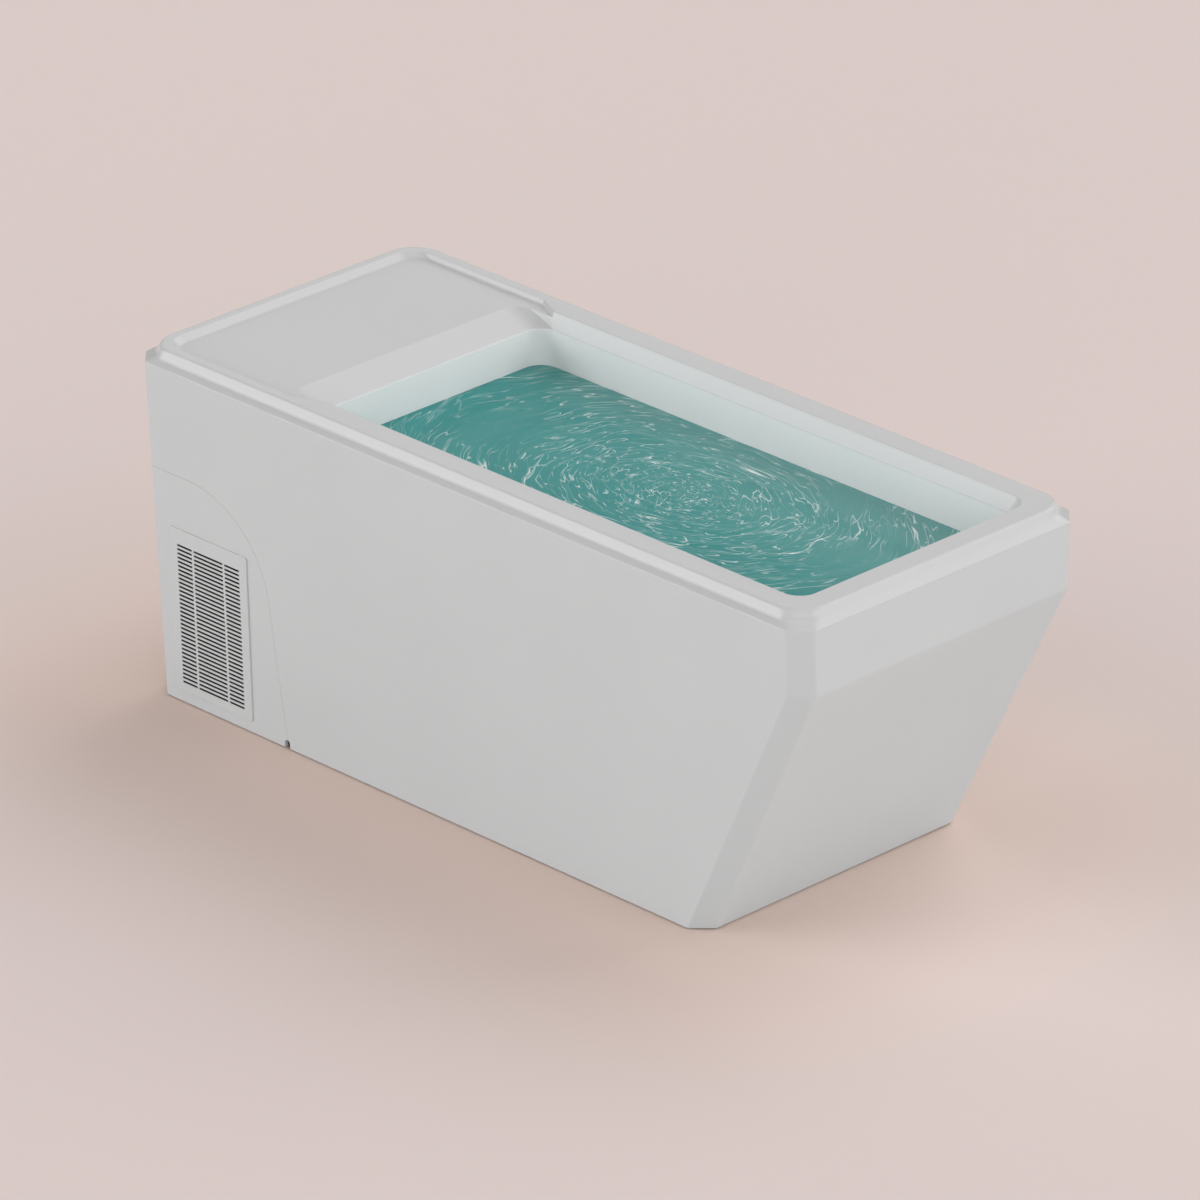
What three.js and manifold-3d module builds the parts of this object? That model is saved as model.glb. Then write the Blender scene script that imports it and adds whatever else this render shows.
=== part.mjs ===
// A cold plunge tub with a chiller built into its deck end.
// Millimetres, +Z up, +X towards the sloped foot end, origin at the centre of the base.
import * as THREE from "three";
import { mergeVertices } from "three/addons/utils/BufferGeometryUtils.js";
import Module from "manifold-3d";

const wasm = await Module();
wasm.setup();

// Outer shell
const shellLength = 1880;
const shellWidth = 790;
const skirtBottom = 3;
const skinThickness = 8;
const sideDraft = 23;
const headDraft = 22;
const cornerLeg = 40;
const kneeHeight = 600;
const footLean = 282;

// Rim and deck moulding
const rimTop = 773;
const rimRise = 33;
const rimSkin = 6;
const rimEdgeHeight = 1.8;
const ledgeWidth = 14;
const ledgeRise = 7;
const shoulderFillet = 3;
const shoulderInset = { side: 21.5, head: 23, foot: 31 };
const lipRound = 1.4;
const rimFoot = { margin: 1, height: 3 };
const deckLength = 383;
const deckDrop = 12;
const recessLip = { head: 44, side: 47 };
const recessBevel = { head: 14, side: 3 };
const recessCorner = 30;
const recessTaper = { start: 42, end: 107 };

// Basin
const openingInset = { side: 74.5, foot: 74.5 };
const bandDrop = 34;
const bandRun = 13;
const headSlopeRun = 80;
const basinCorner = 43;
const linerSkin = 6;
const footWallDepth = 91;
const basinFloor = 118;
const floorFillet = 40;
const basinDraft = 8;
const headFoam = 16;

// Service cover and its vents
const seamTop = 514;
const seamFoot = 425;
const seamLean = THREE.MathUtils.degToRad(7.75);
const seamRadius = 229;
const seamGap = 0.8;
const catchRailHeight = 56;
const catchRailThickness = 3;
const catchRailInset = 107;
const ventCentre = { fromHead: 208, z: 212 };
const ventPlate = { width: 228, height: 368, thickness: 3, corner: 6 };
const ventSpigot = { depth: 7, wall: 4 };
const slotRows = 34;
const slotPitch = 9.35;
const slotHeight = 4.3;
const slotColumns = [43.5, 86, 43.5];
const slotMullion = 5.3;
const slotDrop = 6.3;
const notch = { width: 15, height: 17 };

// Base
const padHeight = 8;
const padRadius = 30;
const padInset = 66;
const bearer = { width: 60, height: 18, inset: 33 };
const boardThickness = 20;
const bulkheadThickness = 6;
const insideClearance = 12;

// Clearances
const gap = 0.3;
const runningGap = 0.4;
const overcut = 1;

// Water fittings and hoses
const fitting = { flange: 44, flangeThickness: 8, tail: 24, dish: 3, reach: 34 };
const suctionPlace = { y: 60, z: 232 };
const returnPlace = { y: -150, z: 520 };
const drain = {
  fromHead: 90,
  flange: 40,
  flangeThickness: 5,
  dish: 3,
  pipe: 17,
  centreHeight: 32,
  tailFoot: 30,
  reach: 34,
};
const valve = { radius: 24, length: 90, stem: 8, stemHeight: 22 };
const lever = { length: 88, width: 18, thickness: 5, hub: 14 };
const hoseTail = { radius: 15, length: 46, barb: 19, barbRise: 6 };

// Cooling machinery, placed from the compartment's head wall, middle line and floor
const compressor = {
  fromHead: 310,
  y: 215,
  radius: 72,
  height: 230,
  foot: 82,
  footHeight: 10,
  domeRise: 43,
  stub: 7,
  stubHeight: 14,
  stubOffset: 30,
};
const condenser = { depth: 36, sideGap: 14, height: 316, stub: 6, stubLength: 14, stubInset: 36 };
const shroud = { depth: 30, wall: 4, tipGap: 4 };
const strap = { width: 26, thickness: 6, standOff: 44 };
const fan = {
  radius: 86,
  hub: 22,
  depth: 26,
  setBack: 25,
  blades: 5,
  bladeRoot: 13,
  rootWidth: 32,
  tipAngle: 34,
  bladeThickness: 2.5,
  pitch: 28,
};
const fanMotor = { radius: 34, length: 50, shaft: 4, shaftReach: 18 };
const exchanger = {
  fromHead: 330,
  y: -115,
  length: 60,
  width: 90,
  height: 284,
  gasStub: 6,
  stubLength: 14,
  gasPortInset: 37,
};
const lineRadius = 5;
const hoseRadius = 20;
const pump = {
  fromHead: 110,
  y: 150,
  axisHeight: 76,
  motorRadius: 54,
  motorLength: 150,
  volute: 66,
  voluteWidth: 46,
  stubLength: 22,
  footInset: 20,
  footWidth: 86,
};
const filter = {
  fromHead: 110,
  y: -90,
  radius: 60,
  wall: 5,
  height: 280,
  portLength: 16,
  lowPort: 74,
  highPort: 200,
};
const filterLid = { overhang: 4, thickness: 12, handleHeight: 22, handleWidth: 14, handleLength: 104 };
const cartridge = { radius: 46, bore: 16, height: 244 };
const controlBox = { y: 90, width: 300, height: 210, depth: 60, z: 430 };
const rockerSize = { width: 14, height: 20, crown: 4, valley: 2, root: 8, tilt: 10, endGap: 2 };
const rockerPlace = { y: 190, z: 120 };
const gland = { radius: 11, length: 22, nut: 14, nutLength: 9, y: 270 };

// Routes between ports: straight leads at both ends, and how far the middles stand off
const suctionRoute = { lead: 26, y: -18, rise: 10, turn: { x: 34, y: -62, z: 12 } };
const pumpLead = 26;
const filterLead = 20;
const returnLead = 36;
const dischargeRoute = { lead: 16, standOff: 46, drop: 16, farRun: 50, nearRun: 70 };
const liquidLead = 24;
const suctionLineRoute = { lead: 20, rise: 46 };

// Values worked out from the driving dimensions
const halfLength = shellLength / 2;
const halfWidth = shellWidth / 2;
const shellTop = rimTop - rimRise;
const deckLevel = rimTop - deckDrop;
const bandFoot = rimTop - bandDrop;
const deckEdgeX = -halfLength + deckLength;
const basinHeadX = deckEdgeX + headSlopeRun;
const basinHalfWidth = halfWidth - openingInset.side - bandRun;
const bearerTop = padHeight + bearer.height;
const boardTop = bearerTop + gap + boardThickness;
const floorLevel = boardTop + gap;
const bulkheadBack = basinHeadX - linerSkin - headFoam - 2 * gap;
const bulkheadFront = bulkheadBack - bulkheadThickness;
const ventX = -halfLength + ventCentre.fromHead;
const far = 4 * shellLength;

// Tools for solids

/** A closed geometry as a solid that can be joined and cut. */
function solid(geometry) {
  const bare = geometry.clone();
  bare.deleteAttribute("normal");
  bare.deleteAttribute("uv");
  const merged = mergeVertices(bare, 1e-3);
  const vertProperties = merged.attributes.position.array;
  const triVerts = new Uint32Array(merged.index.array);
  return new wasm.Manifold(new wasm.Mesh({ numProp: 3, vertProperties, triVerts }));
}

/** A solid as a geometry for a mesh. */
function geometryOf(body) {
  const mesh = body.getMesh();
  const geometry = new THREE.BufferGeometry();
  geometry.setAttribute("position", new THREE.BufferAttribute(mesh.vertProperties, 3));
  geometry.setIndex(new THREE.BufferAttribute(mesh.triVerts, 1));
  geometry.computeVertexNormals();
  return geometry;
}

function box(x0, x1, y0, y1, z0, z1) {
  const geometry = new THREE.BoxGeometry(x1 - x0, y1 - y0, z1 - z0);
  return solid(geometry.translate((x0 + x1) / 2, (y0 + y1) / 2, (z0 + z1) / 2));
}

/** A round bar between two points. */
function bar(from, to, radius, sides = 20) {
  const along = to.clone().sub(from);
  const geometry = new THREE.CylinderGeometry(radius, radius, along.length(), sides);
  const up = new THREE.Vector3(0, 1, 0);
  const turn = new THREE.Quaternion().setFromUnitVectors(up, along.clone().normalize());
  const middle = from.clone().add(to).multiplyScalar(0.5);
  return solid(geometry.applyQuaternion(turn).translate(middle.x, middle.y, middle.z));
}

/** A turned solid about +Z, from [radius, height] pairs listed upwards round the outside. */
function turned(profile, sides = 20) {
  const points = profile.map(([r, z]) => new THREE.Vector2(r, z));
  return solid(new THREE.LatheGeometry(points, sides).rotateX(Math.PI / 2));
}

/** A hose or pipe along a smooth curve through the points. */
function tube(points, radius, steps, sides = 8) {
  const section = new THREE.Shape().absarc(0, 0, radius, 0, 2 * Math.PI, false);
  const path = new THREE.CatmullRomCurve3(points, false, "centripetal");
  const settings = { steps, extrudePath: path, bevelEnabled: false, curveSegments: sides / 2 };
  return solid(new THREE.ExtrudeGeometry(section, settings));
}

/** A shape drawn in X and Z, carried along Y from y0 to y1. */
function sidePrism(shape, y0, y1) {
  const settings = { depth: y1 - y0, bevelEnabled: false, curveSegments: 14 };
  const geometry = new THREE.ExtrudeGeometry(shape, settings);
  return solid(geometry.rotateX(Math.PI / 2).translate(0, y1, 0));
}

/** A closed skin over convex outlines of equal point counts, listed upwards. */
function loft(outlines) {
  const count = outlines[0].length;
  const last = (outlines.length - 1) * count;
  const index = [];
  for (let row = 0; row < outlines.length - 1; row++) {
    for (let i = 0; i < count; i++) {
      const a = row * count + i;
      const b = row * count + ((i + 1) % count);
      index.push(a, b, b + count, a, b + count, a + count);
    }
  }
  for (let i = 1; i < count - 1; i++) {
    index.push(0, i + 1, i);
    index.push(last, last + i, last + i + 1);
  }
  const geometry = new THREE.BufferGeometry().setFromPoints(outlines.flat());
  geometry.setIndex(index);
  return solid(geometry);
}

/** An outline with its four corners cut at 45 degrees. */
function octagon({ x0, x1, y1 }, leg, z) {
  const corners = [
    [x0 + leg, -y1],
    [x1 - leg, -y1],
    [x1, leg - y1],
    [x1, y1 - leg],
    [x1 - leg, y1],
    [x0 + leg, y1],
    [x0, y1 - leg],
    [x0, leg - y1],
  ];
  return corners.map(([x, y]) => new THREE.Vector3(x, y, z));
}

/** An outline with its four corners rounded. */
function roundedOutline({ x0, x1, y1 }, radius, z, steps = 5) {
  const centres = [
    [x1 - radius, radius - y1, -90],
    [x1 - radius, y1 - radius, 0],
    [x0 + radius, y1 - radius, 90],
    [x0 + radius, radius - y1, 180],
  ];
  return centres.flatMap(([x, y, start]) =>
    Array.from({ length: steps + 1 }, (unused, i) => {
      const angle = THREE.MathUtils.degToRad(start + (90 * i) / steps);
      return new THREE.Vector3(x + radius * Math.cos(angle), y + radius * Math.sin(angle), z);
    }),
  );
}

// Shell: walls with draft, facets on the corners and a foot end that leans in below its knee

/** The walls' extents at a height, moved in by an inset on each side. */
function wallsAt(z, inset = { side: 0, head: 0, foot: 0 }) {
  const drop = 1 - z / shellTop;
  const lean = Math.max(0, 1 - z / kneeHeight);
  return {
    x0: -halfLength + headDraft * drop + inset.head,
    x1: halfLength - footLean * lean - inset.foot,
    y1: halfWidth - sideDraft * drop - inset.side,
  };
}

/** The space inside the walls, moved in by one depth all round. */
function wallBlock(depth, z0, z1) {
  const inset = { side: depth, head: depth, foot: depth };
  const leg = cornerLeg - depth * (2 - Math.SQRT2);
  return loft([z0, kneeHeight, z1].map((z) => octagon(wallsAt(z, inset), leg, z)));
}

/** The service cover's outline in X and Z, grown by an offset. */
function coverOutline(offset) {
  const radius = seamRadius + offset;
  const centreZ = seamTop - seamRadius;
  const footX = -halfLength + seamFoot;
  const centreX = footX - (seamRadius + Math.sin(seamLean) * centreZ) / Math.cos(seamLean);
  const below = -shellTop;
  const outside = -halfLength - seamRadius;
  const lowX = footX + (offset - Math.sin(seamLean) * below) / Math.cos(seamLean);
  const shape = new THREE.Shape();
  shape.moveTo(outside, below);
  shape.lineTo(lowX, below);
  shape.absarc(centreX, centreZ, radius, seamLean, Math.PI / 2, false);
  shape.lineTo(outside, seamTop + offset);
  return shape;
}

/** The region of the flat side walls, between the head and foot corners. */
function sideRegion(clearance) {
  const low = skirtBottom - overcut;
  const high = shellTop + overcut;
  const reach = cornerLeg + clearance;
  const shape = new THREE.Shape();
  shape.moveTo(wallsAt(low).x0 + reach, low);
  shape.lineTo(wallsAt(low).x1 - reach, low);
  shape.lineTo(wallsAt(kneeHeight).x1 - reach, kneeHeight);
  shape.lineTo(wallsAt(high).x1 - reach, high);
  shape.lineTo(wallsAt(high).x0 + reach, high);
  return shape;
}

const skin = wallBlock(0, skirtBottom, shellTop).subtract(
  wallBlock(skinThickness, skirtBottom - overcut, shellTop + overcut),
);
const cornerSplit = sidePrism(sideRegion(-gap / 2), -far, far);
const notchX = -halfLength + seamFoot - (notch.width * 3) / 4;
const notchCut = box(notchX, notchX + notch.width, -halfWidth, 0, -overcut, skirtBottom + notch.height);
const fixedSkin = skin.subtract(sidePrism(coverOutline(seamGap / 2), -far, far)).subtract(notchCut);

function sidePanel(side) {
  const y0 = side < 0 ? -far : 0;
  return fixedSkin.intersect(sidePrism(sideRegion(gap / 2), y0, y0 + far));
}

function endPanel(x0, x1) {
  return fixedSkin.subtract(cornerSplit).intersect(box(x0, x1, -far, far, 0, far));
}

/** The window behind a vent, which the grille's spigot fits. */
function ventWindow(side) {
  const width = ventPlate.width / 2 - ventSpigot.wall * 2;
  const height = ventPlate.height / 2 - ventSpigot.wall * 2;
  const y0 = side < 0 ? -far : 0;
  return box(ventX - width, ventX + width, y0, y0 + far, ventCentre.z - height, ventCentre.z + height);
}

function serviceCover() {
  const blank = skin.intersect(sidePrism(coverOutline(-seamGap / 2), -far, far));
  return blank.subtract(ventWindow(-1)).subtract(ventWindow(1)).subtract(notchCut);
}

/** A strip behind the head panel's lower edge that the cover's top edge closes on. */
function catchRail() {
  const outside = skinThickness + gap;
  const low = seamTop - catchRailHeight / 2;
  const high = seamTop + catchRailHeight / 2;
  const reach = wallsAt(seamTop).y1 - catchRailInset;
  const block = box(-far, 0, -reach, reach, low, high);
  const strip = wallBlock(outside, skirtBottom, shellTop).subtract(
    wallBlock(outside + catchRailThickness, 0, shellTop + overcut),
  );
  return strip.intersect(block);
}

/** A vent plate in its own frame: X along the wall, Y up it, Z out of it. */
function ventGrille() {
  const halfW = ventPlate.width / 2;
  const halfH = ventPlate.height / 2;
  const r = ventPlate.corner;
  const plate = new THREE.Shape();
  plate.absarc(halfW - r, halfH - r, r, 0, Math.PI / 2, false);
  plate.absarc(r - halfW, halfH - r, r, Math.PI / 2, Math.PI, false);
  plate.absarc(r - halfW, r - halfH, r, Math.PI, Math.PI * 1.5, false);
  plate.absarc(halfW - r, r - halfH, r, Math.PI * 1.5, Math.PI * 2, false);
  const front = new THREE.ExtrudeGeometry(plate, {
    depth: ventPlate.thickness,
    bevelEnabled: false,
    curveSegments: 2,
  });
  const outer = { w: halfW - ventSpigot.wall * 2 - gap, h: halfH - ventSpigot.wall * 2 - gap };
  const inner = { w: outer.w - ventSpigot.wall, h: outer.h - ventSpigot.wall };
  const ring = new THREE.Shape(rectangle(-outer.w, outer.w, -outer.h, outer.h).getPoints());
  ring.holes.push(rectangle(-inner.w, inner.w, -inner.h, inner.h));
  const spigot = new THREE.ExtrudeGeometry(ring, { depth: ventSpigot.depth, bevelEnabled: false });
  spigot.translate(0, 0, ventPlate.thickness / 2 - ventSpigot.depth);
  return solid(front).add(solid(spigot)).subtract(ventSlots());
}

/** All the vent's slots as one cutter, through the plate's full thickness. */
function ventSlots() {
  const fieldWidth = slotColumns.reduce((sum, width) => sum + width, 2 * slotMullion);
  const slots = [];
  for (let row = 0; row < slotRows; row++) {
    const y = (row - (slotRows - 1) / 2) * slotPitch - slotDrop;
    let x = -fieldWidth / 2;
    for (const width of slotColumns) {
      const low = y - slotHeight / 2;
      slots.push(box(x, x + width, low, low + slotHeight, -overcut, ventPlate.thickness + overcut));
      x += width + slotMullion;
    }
  }
  return slots.reduce((all, slot) => all.add(slot));
}

function rectangle(x0, x1, y0, y1) {
  const path = new THREE.Path();
  path.moveTo(x0, y0);
  path.lineTo(x1, y0);
  path.lineTo(x1, y1);
  path.lineTo(x0, y1);
  return path;
}

// Rim, deck and basin

/** The rim's outside: an edge over the wall, a sloped ledge, then a shoulder up to the flat lip. */
function rimBlock() {
  const base = shellTop + gap;
  const edge = base + rimEdgeHeight;
  const ledge = edge + ledgeRise;
  const same = (inset) => ({ side: inset, head: inset, foot: inset });
  const lip = (extra) => ({
    side: shoulderInset.side + extra,
    head: shoulderInset.head + extra,
    foot: shoulderInset.foot + extra,
  });
  const rows = [
    [base, same(0)],
    [edge, same(0)],
    [ledge, same(ledgeWidth)],
    [ledge + shoulderFillet, same(ledgeWidth + shoulderFillet / 2)],
    [rimTop - lipRound, lip(-lipRound / 2)],
    [rimTop, lip(lipRound / 2)],
  ];
  return loft(rows.map(([z, inset]) => octagon(wallsAt(shellTop, inset), cornerLeg, z)));
}

/** The hollow under the rim, one skin below its outside. */
function rimHollow() {
  const top = rimTop - rimSkin;
  const low = ledgeWidth + rimFoot.margin;
  const lip = {
    side: shoulderInset.side + rimSkin,
    head: shoulderInset.head + rimSkin,
    foot: shoulderInset.foot + rimSkin,
  };
  const mouth = { side: low, head: low, foot: low };
  const rows = [
    [shellTop - overcut, mouth],
    [shellTop + gap + rimFoot.height, mouth],
    [top, lip],
  ];
  return loft(rows.map(([z, inset]) => octagon(wallsAt(shellTop, inset), cornerLeg, z)));
}

/** The basin's mouth between the band's foot and the lip, grown by a skin; it slopes far out at the head. */
function mouthBlock(grow, z0, z1) {
  const headRate = headSlopeRun / (bandDrop - deckDrop);
  const skinDepth = grow * Math.hypot(1, 1 / headRate);
  const extents = (z) => {
    const rise = (z - bandFoot) / bandDrop;
    return {
      x0: basinHeadX - headRate * (z - bandFoot + skinDepth),
      x1: halfLength - openingInset.foot - bandRun * (1 - rise) + grow,
      y1: basinHalfWidth + bandRun * rise + grow,
    };
  };
  return loft([z0, z1].map((z) => roundedOutline(extents(z), basinCorner, z)));
}

/** The shallow recess in the deck, open towards the basin. */
function recessBlock() {
  const outline = (inset, z) => {
    const headX = -halfLength + recessLip.head + inset.head;
    const y = halfWidth - recessLip.side - inset.side;
    const start = deckEdgeX + recessTaper.start;
    const end = deckEdgeX + recessTaper.end;
    const endY = halfWidth - openingInset.side - inset.side;
    const r = recessCorner;
    const points = [
      [start, -y],
      [end, -endY],
      [end, endY],
      [start, y],
    ];
    for (const side of [1, -1]) {
      for (let i = 0; i <= 4; i++) {
        const angle = ((side > 0 ? i : 4 - i) * Math.PI) / 8;
        points.push([headX + r - r * Math.sin(angle), side * (y - r + r * Math.cos(angle))]);
      }
    }
    return points.map(([x, py]) => new THREE.Vector3(x, py, z));
  };
  const rate = { head: recessBevel.head / deckDrop, side: recessBevel.side / deckDrop };
  const above = { head: -rate.head * overcut, side: -rate.side * overcut };
  return loft([outline(recessBevel, deckLevel), outline(above, rimTop + overcut)]);
}

function rimAndDeck() {
  const outside = rimBlock();
  const hollow = rimHollow();
  const deckSlab = box(-far, basinHeadX, -far, far, deckLevel - rimSkin, far);
  const band = mouthBlock(linerSkin, bandFoot, rimTop);
  const lining = hollow.intersect(deckSlab).add(band);
  const lowFace = box(-far, far, -far, far, bandFoot, far);
  return outside
    .subtract(hollow)
    .add(lining)
    .subtract(mouthBlock(0, bandFoot - overcut, rimTop + overcut))
    .subtract(recessBlock())
    .intersect(lowFace);
}

/** The basin below the band, grown by a skin, with a rounded floor edge. */
function basinBlock(grow, top) {
  const extents = (z, inset) => ({
    x0: basinHeadX + inset - grow,
    x1: wallsAt(z).x1 - footWallDepth - inset + grow,
    y1: basinHalfWidth - (basinDraft * (bandFoot - z)) / (bandFoot - basinFloor) - inset + grow,
  });
  const rows = [];
  for (const degrees of [0, 45, 90]) {
    const angle = THREE.MathUtils.degToRad(degrees);
    const z = basinFloor + floorFillet * (1 - Math.cos(angle));
    const inset = floorFillet * (1 - Math.sin(angle));
    const radius = basinCorner - inset + grow;
    rows.push(roundedOutline(extents(z, inset), radius, degrees ? z : z - grow));
  }
  for (const z of [kneeHeight, top]) {
    rows.push(roundedOutline(extents(z, 0), basinCorner + grow, z));
  }
  return loft(rows);
}

const drainX = basinHeadX + drain.fromHead;
const drainPipeZ = floorLevel + drain.centreHeight;
const drainEndX = bulkheadFront - drain.reach;

/** A pipe down from a height at the drain, round a ball elbow and out towards the head. */
function drainRun(radius, topZ, endX) {
  const corner = new THREE.Vector3(drainX, 0, drainPipeZ);
  const elbow = new THREE.SphereGeometry(radius, 16, 10).translate(corner.x, corner.y, corner.z);
  const drop = bar(new THREE.Vector3(drainX, 0, topZ), corner, radius, 16);
  return drop.add(solid(elbow)).add(bar(corner, new THREE.Vector3(endX, 0, drainPipeZ), radius, 16));
}

/** The holes that the fittings and the drain run through, one gap clear of them. */
function waterWays() {
  const ways = [suctionPlace, returnPlace].map(({ y, z }) => {
    const from = new THREE.Vector3(-halfLength, y, z);
    return bar(from, new THREE.Vector3(basinHeadX + overcut, y, z), fitting.tail + gap);
  });
  ways.push(drainRun(drain.pipe + 2 * gap, basinFloor + overcut, -halfLength));
  return ways.reduce((all, way) => all.add(way));
}

function basinLiner() {
  const wall = basinBlock(linerSkin, bandFoot - gap).subtract(basinBlock(0, bandFoot + overcut));
  return wall.subtract(waterWays());
}

function insulationFoam() {
  const top = bandFoot - 2 * linerSkin;
  const filled = wallBlock(skinThickness + gap, floorLevel, top);
  const behindBulkhead = box(bulkheadBack + gap, far, -far, far, 0, far);
  return filled
    .intersect(behindBulkhead)
    .subtract(basinBlock(linerSkin + gap, bandFoot))
    .subtract(waterWays());
}

function bulkhead() {
  const y = wallsAt(floorLevel).y1 - skinThickness - insideClearance;
  return box(bulkheadFront, bulkheadBack, -y, y, floorLevel, bandFoot - gap).subtract(waterWays());
}

// Base

/** The board's extents: clear of the walls, and of the facets at its four corners. */
function boardExtents() {
  const walls = wallsAt(bearerTop);
  const clear = skinThickness + insideClearance;
  return { x0: walls.x0 + cornerLeg, x1: walls.x1 - cornerLeg - clear, y1: walls.y1 - clear };
}

function baseBoard() {
  const { x0, x1, y1 } = boardExtents();
  return box(x0, x1, -y1, y1, bearerTop + gap, boardTop);
}

function bearerY(side) {
  return side * (boardExtents().y1 - bearer.inset - bearer.width / 2);
}

function bearerBar(side) {
  const { x0, x1 } = boardExtents();
  const y = bearerY(side);
  return box(x0, x1, y - bearer.width / 2, y + bearer.width / 2, padHeight, bearerTop);
}

// Water fittings

/** A flanged fitting through the head wall, turned about its own +Z, which points into the basin. */
function wallFitting() {
  const back = basinHeadX - (bulkheadFront - fitting.reach);
  return turned([
    [0, -back],
    [fitting.tail, -back],
    [fitting.tail, gap],
    [fitting.flange, gap],
    [fitting.flange - fitting.dish, fitting.flangeThickness],
    [fitting.tail, fitting.flangeThickness],
    [0, fitting.flangeThickness - fitting.dish],
  ]);
}

/** The floor drain: a dished strainer over a short tail. */
function floorDrain() {
  const tailFoot = drainPipeZ + drain.tailFoot - basinFloor;
  return turned([
    [0, tailFoot],
    [drain.pipe, tailFoot],
    [drain.pipe, gap],
    [drain.flange, gap],
    [drain.flange - drain.dish, drain.flangeThickness],
    [0, drain.flangeThickness - drain.dish],
  ]);
}

function drainPipe() {
  return drainRun(drain.pipe, drainPipeZ + drain.tailFoot - gap, drainEndX);
}

const valveX = drainEndX - gap - valve.length / 2;

function drainValveBody() {
  const half = valve.length / 2;
  const along = (x) => new THREE.Vector3(x, 0, 0);
  const run = bar(along(-half), along(half), valve.radius);
  const stem = bar(along(0), new THREE.Vector3(0, 0, valve.radius + valve.stemHeight), valve.stem);
  return run.add(stem);
}

/** The lever in its own frame: its hub sits over the stem, its handle points along the open pipe. */
function drainValveLever() {
  const hub = bar(new THREE.Vector3(0, 0, 0), new THREE.Vector3(0, 0, lever.thickness * 2), lever.hub);
  const w = lever.width / 2;
  const handle = box(-lever.length, 0, -w, w, lever.thickness, lever.thickness * 2);
  const seatTop = new THREE.Vector3(0, 0, lever.thickness);
  const seat = bar(new THREE.Vector3(0, 0, -overcut), seatTop, valve.stem + runningGap);
  return hub.add(handle).subtract(seat);
}

/** A hose tail with two barbs, turned about +Z. */
function drainHoseTail() {
  const { radius, length, barb, barbRise } = hoseTail;
  const third = length / 3;
  const barbs = [1, 2].flatMap((row) => [
    [radius, third * row],
    [barb, third * row + barbRise],
  ]);
  return turned([[0, 0], [barb, 0], [barb, third], ...barbs, [radius, length], [0, length]]);
}

// Cooling machinery

function compressorCan() {
  const r = compressor.radius;
  const top = compressor.height;
  const foot = compressor.footHeight;
  const domeFoot = top - compressor.domeRise;
  const dome = [0, 30, 60, 90].map((degrees) => {
    const angle = THREE.MathUtils.degToRad(degrees);
    return [degrees < 90 ? r * Math.cos(angle) : 0, domeFoot + compressor.domeRise * Math.sin(angle)];
  });
  const can = turned([[0, 0], [compressor.foot, 0], [compressor.foot, foot], [r, foot], ...dome]);
  return compressorStubs().reduce((all, at) => {
    const from = new THREE.Vector3(at.x, at.y, domeFoot);
    const to = new THREE.Vector3(at.x, at.y, top + compressor.stubHeight);
    return all.add(bar(from, to, compressor.stub, 12));
  }, can);
}

/** Where the compressor's two pipes leave its dome, in its own frame. */
function compressorStubs() {
  return [1, -1].map((side) => new THREE.Vector2(side * compressor.stubOffset, 0));
}

const compressorAt = new THREE.Vector3(-halfLength + compressor.fromHead, compressor.y, floorLevel);

function compressorPort(which) {
  const stub = compressorStubs()[which];
  const top = compressor.height + compressor.stubHeight + gap;
  return new THREE.Vector3(stub.x, stub.y, top).add(compressorAt);
}

const condenserWidth = ventPlate.width - 2 * ventSpigot.wall - 2 * skinThickness;
const condenserBack = skinThickness + condenser.sideGap - wallsAt(0).y1 + condenser.depth;

/** The finned core behind the near vent, with a pipe at the top and bottom of its foot side. */
function condenserCoil() {
  const x1 = ventX + condenserWidth / 2;
  const y0 = condenserBack - condenser.depth;
  const core = box(x1 - condenserWidth, x1, y0, condenserBack, floorLevel, floorLevel + condenser.height);
  return [0, 1].reduce((all, which) => {
    const tip = condenserPort(which).sub(new THREE.Vector3(gap, 0, 0));
    return all.add(bar(new THREE.Vector3(x1 - overcut, tip.y, tip.z), tip, condenser.stub, 12));
  }, core);
}

function condenserPort(which) {
  const x = ventX + condenserWidth / 2 + condenser.stubLength + gap;
  const low = floorLevel + condenser.stubInset;
  const high = floorLevel + condenser.height - condenser.stubInset;
  return new THREE.Vector3(x, condenserBack - condenser.depth / 2, which ? high : low);
}

const shroudFront = condenserBack + gap;
const shroudBack = shroudFront + shroud.depth;
const fanHole = fan.radius + shroud.tipGap;
const fanZ = floorLevel + condenser.height / 2;
const strapFront = shroudBack + strap.standOff;
const rotorY = shroudBack + fan.setBack;

/** A duct behind the coil with a round hole for the fan and a strap that carries the motor. */
function fanShroud() {
  const half = condenserWidth / 2;
  const high = floorLevel + condenser.height;
  const t = shroud.wall;
  const duct = box(ventX - half, ventX + half, shroudFront, shroudBack, floorLevel, high).subtract(
    box(ventX - half + t, ventX + half - t, shroudFront - overcut, shroudBack - t, floorLevel + t, high - t),
  );
  const onAxis = (y) => new THREE.Vector3(ventX, y, fanZ);
  const hole = bar(onAxis(shroudFront), onAxis(shroudBack + overcut), fanHole, 28);
  const w = strap.width / 2;
  const reach = fanHole + strap.thickness;
  const strapBack = strapFront + strap.thickness;
  const cross = box(ventX - w, ventX + w, strapFront, strapBack, fanZ - reach, fanZ + reach);
  const post = (z) => box(ventX - w, ventX + w, shroudBack - t, strapBack, z, z + strap.thickness);
  const shaftHole = bar(onAxis(strapFront - overcut), onAxis(strapBack + overcut), fanMotor.shaft + gap, 12);
  return duct
    .subtract(hole)
    .add(cross)
    .add(post(fanZ - reach))
    .add(post(fanZ + reach - strap.thickness))
    .subtract(shaftHole);
}

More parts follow.
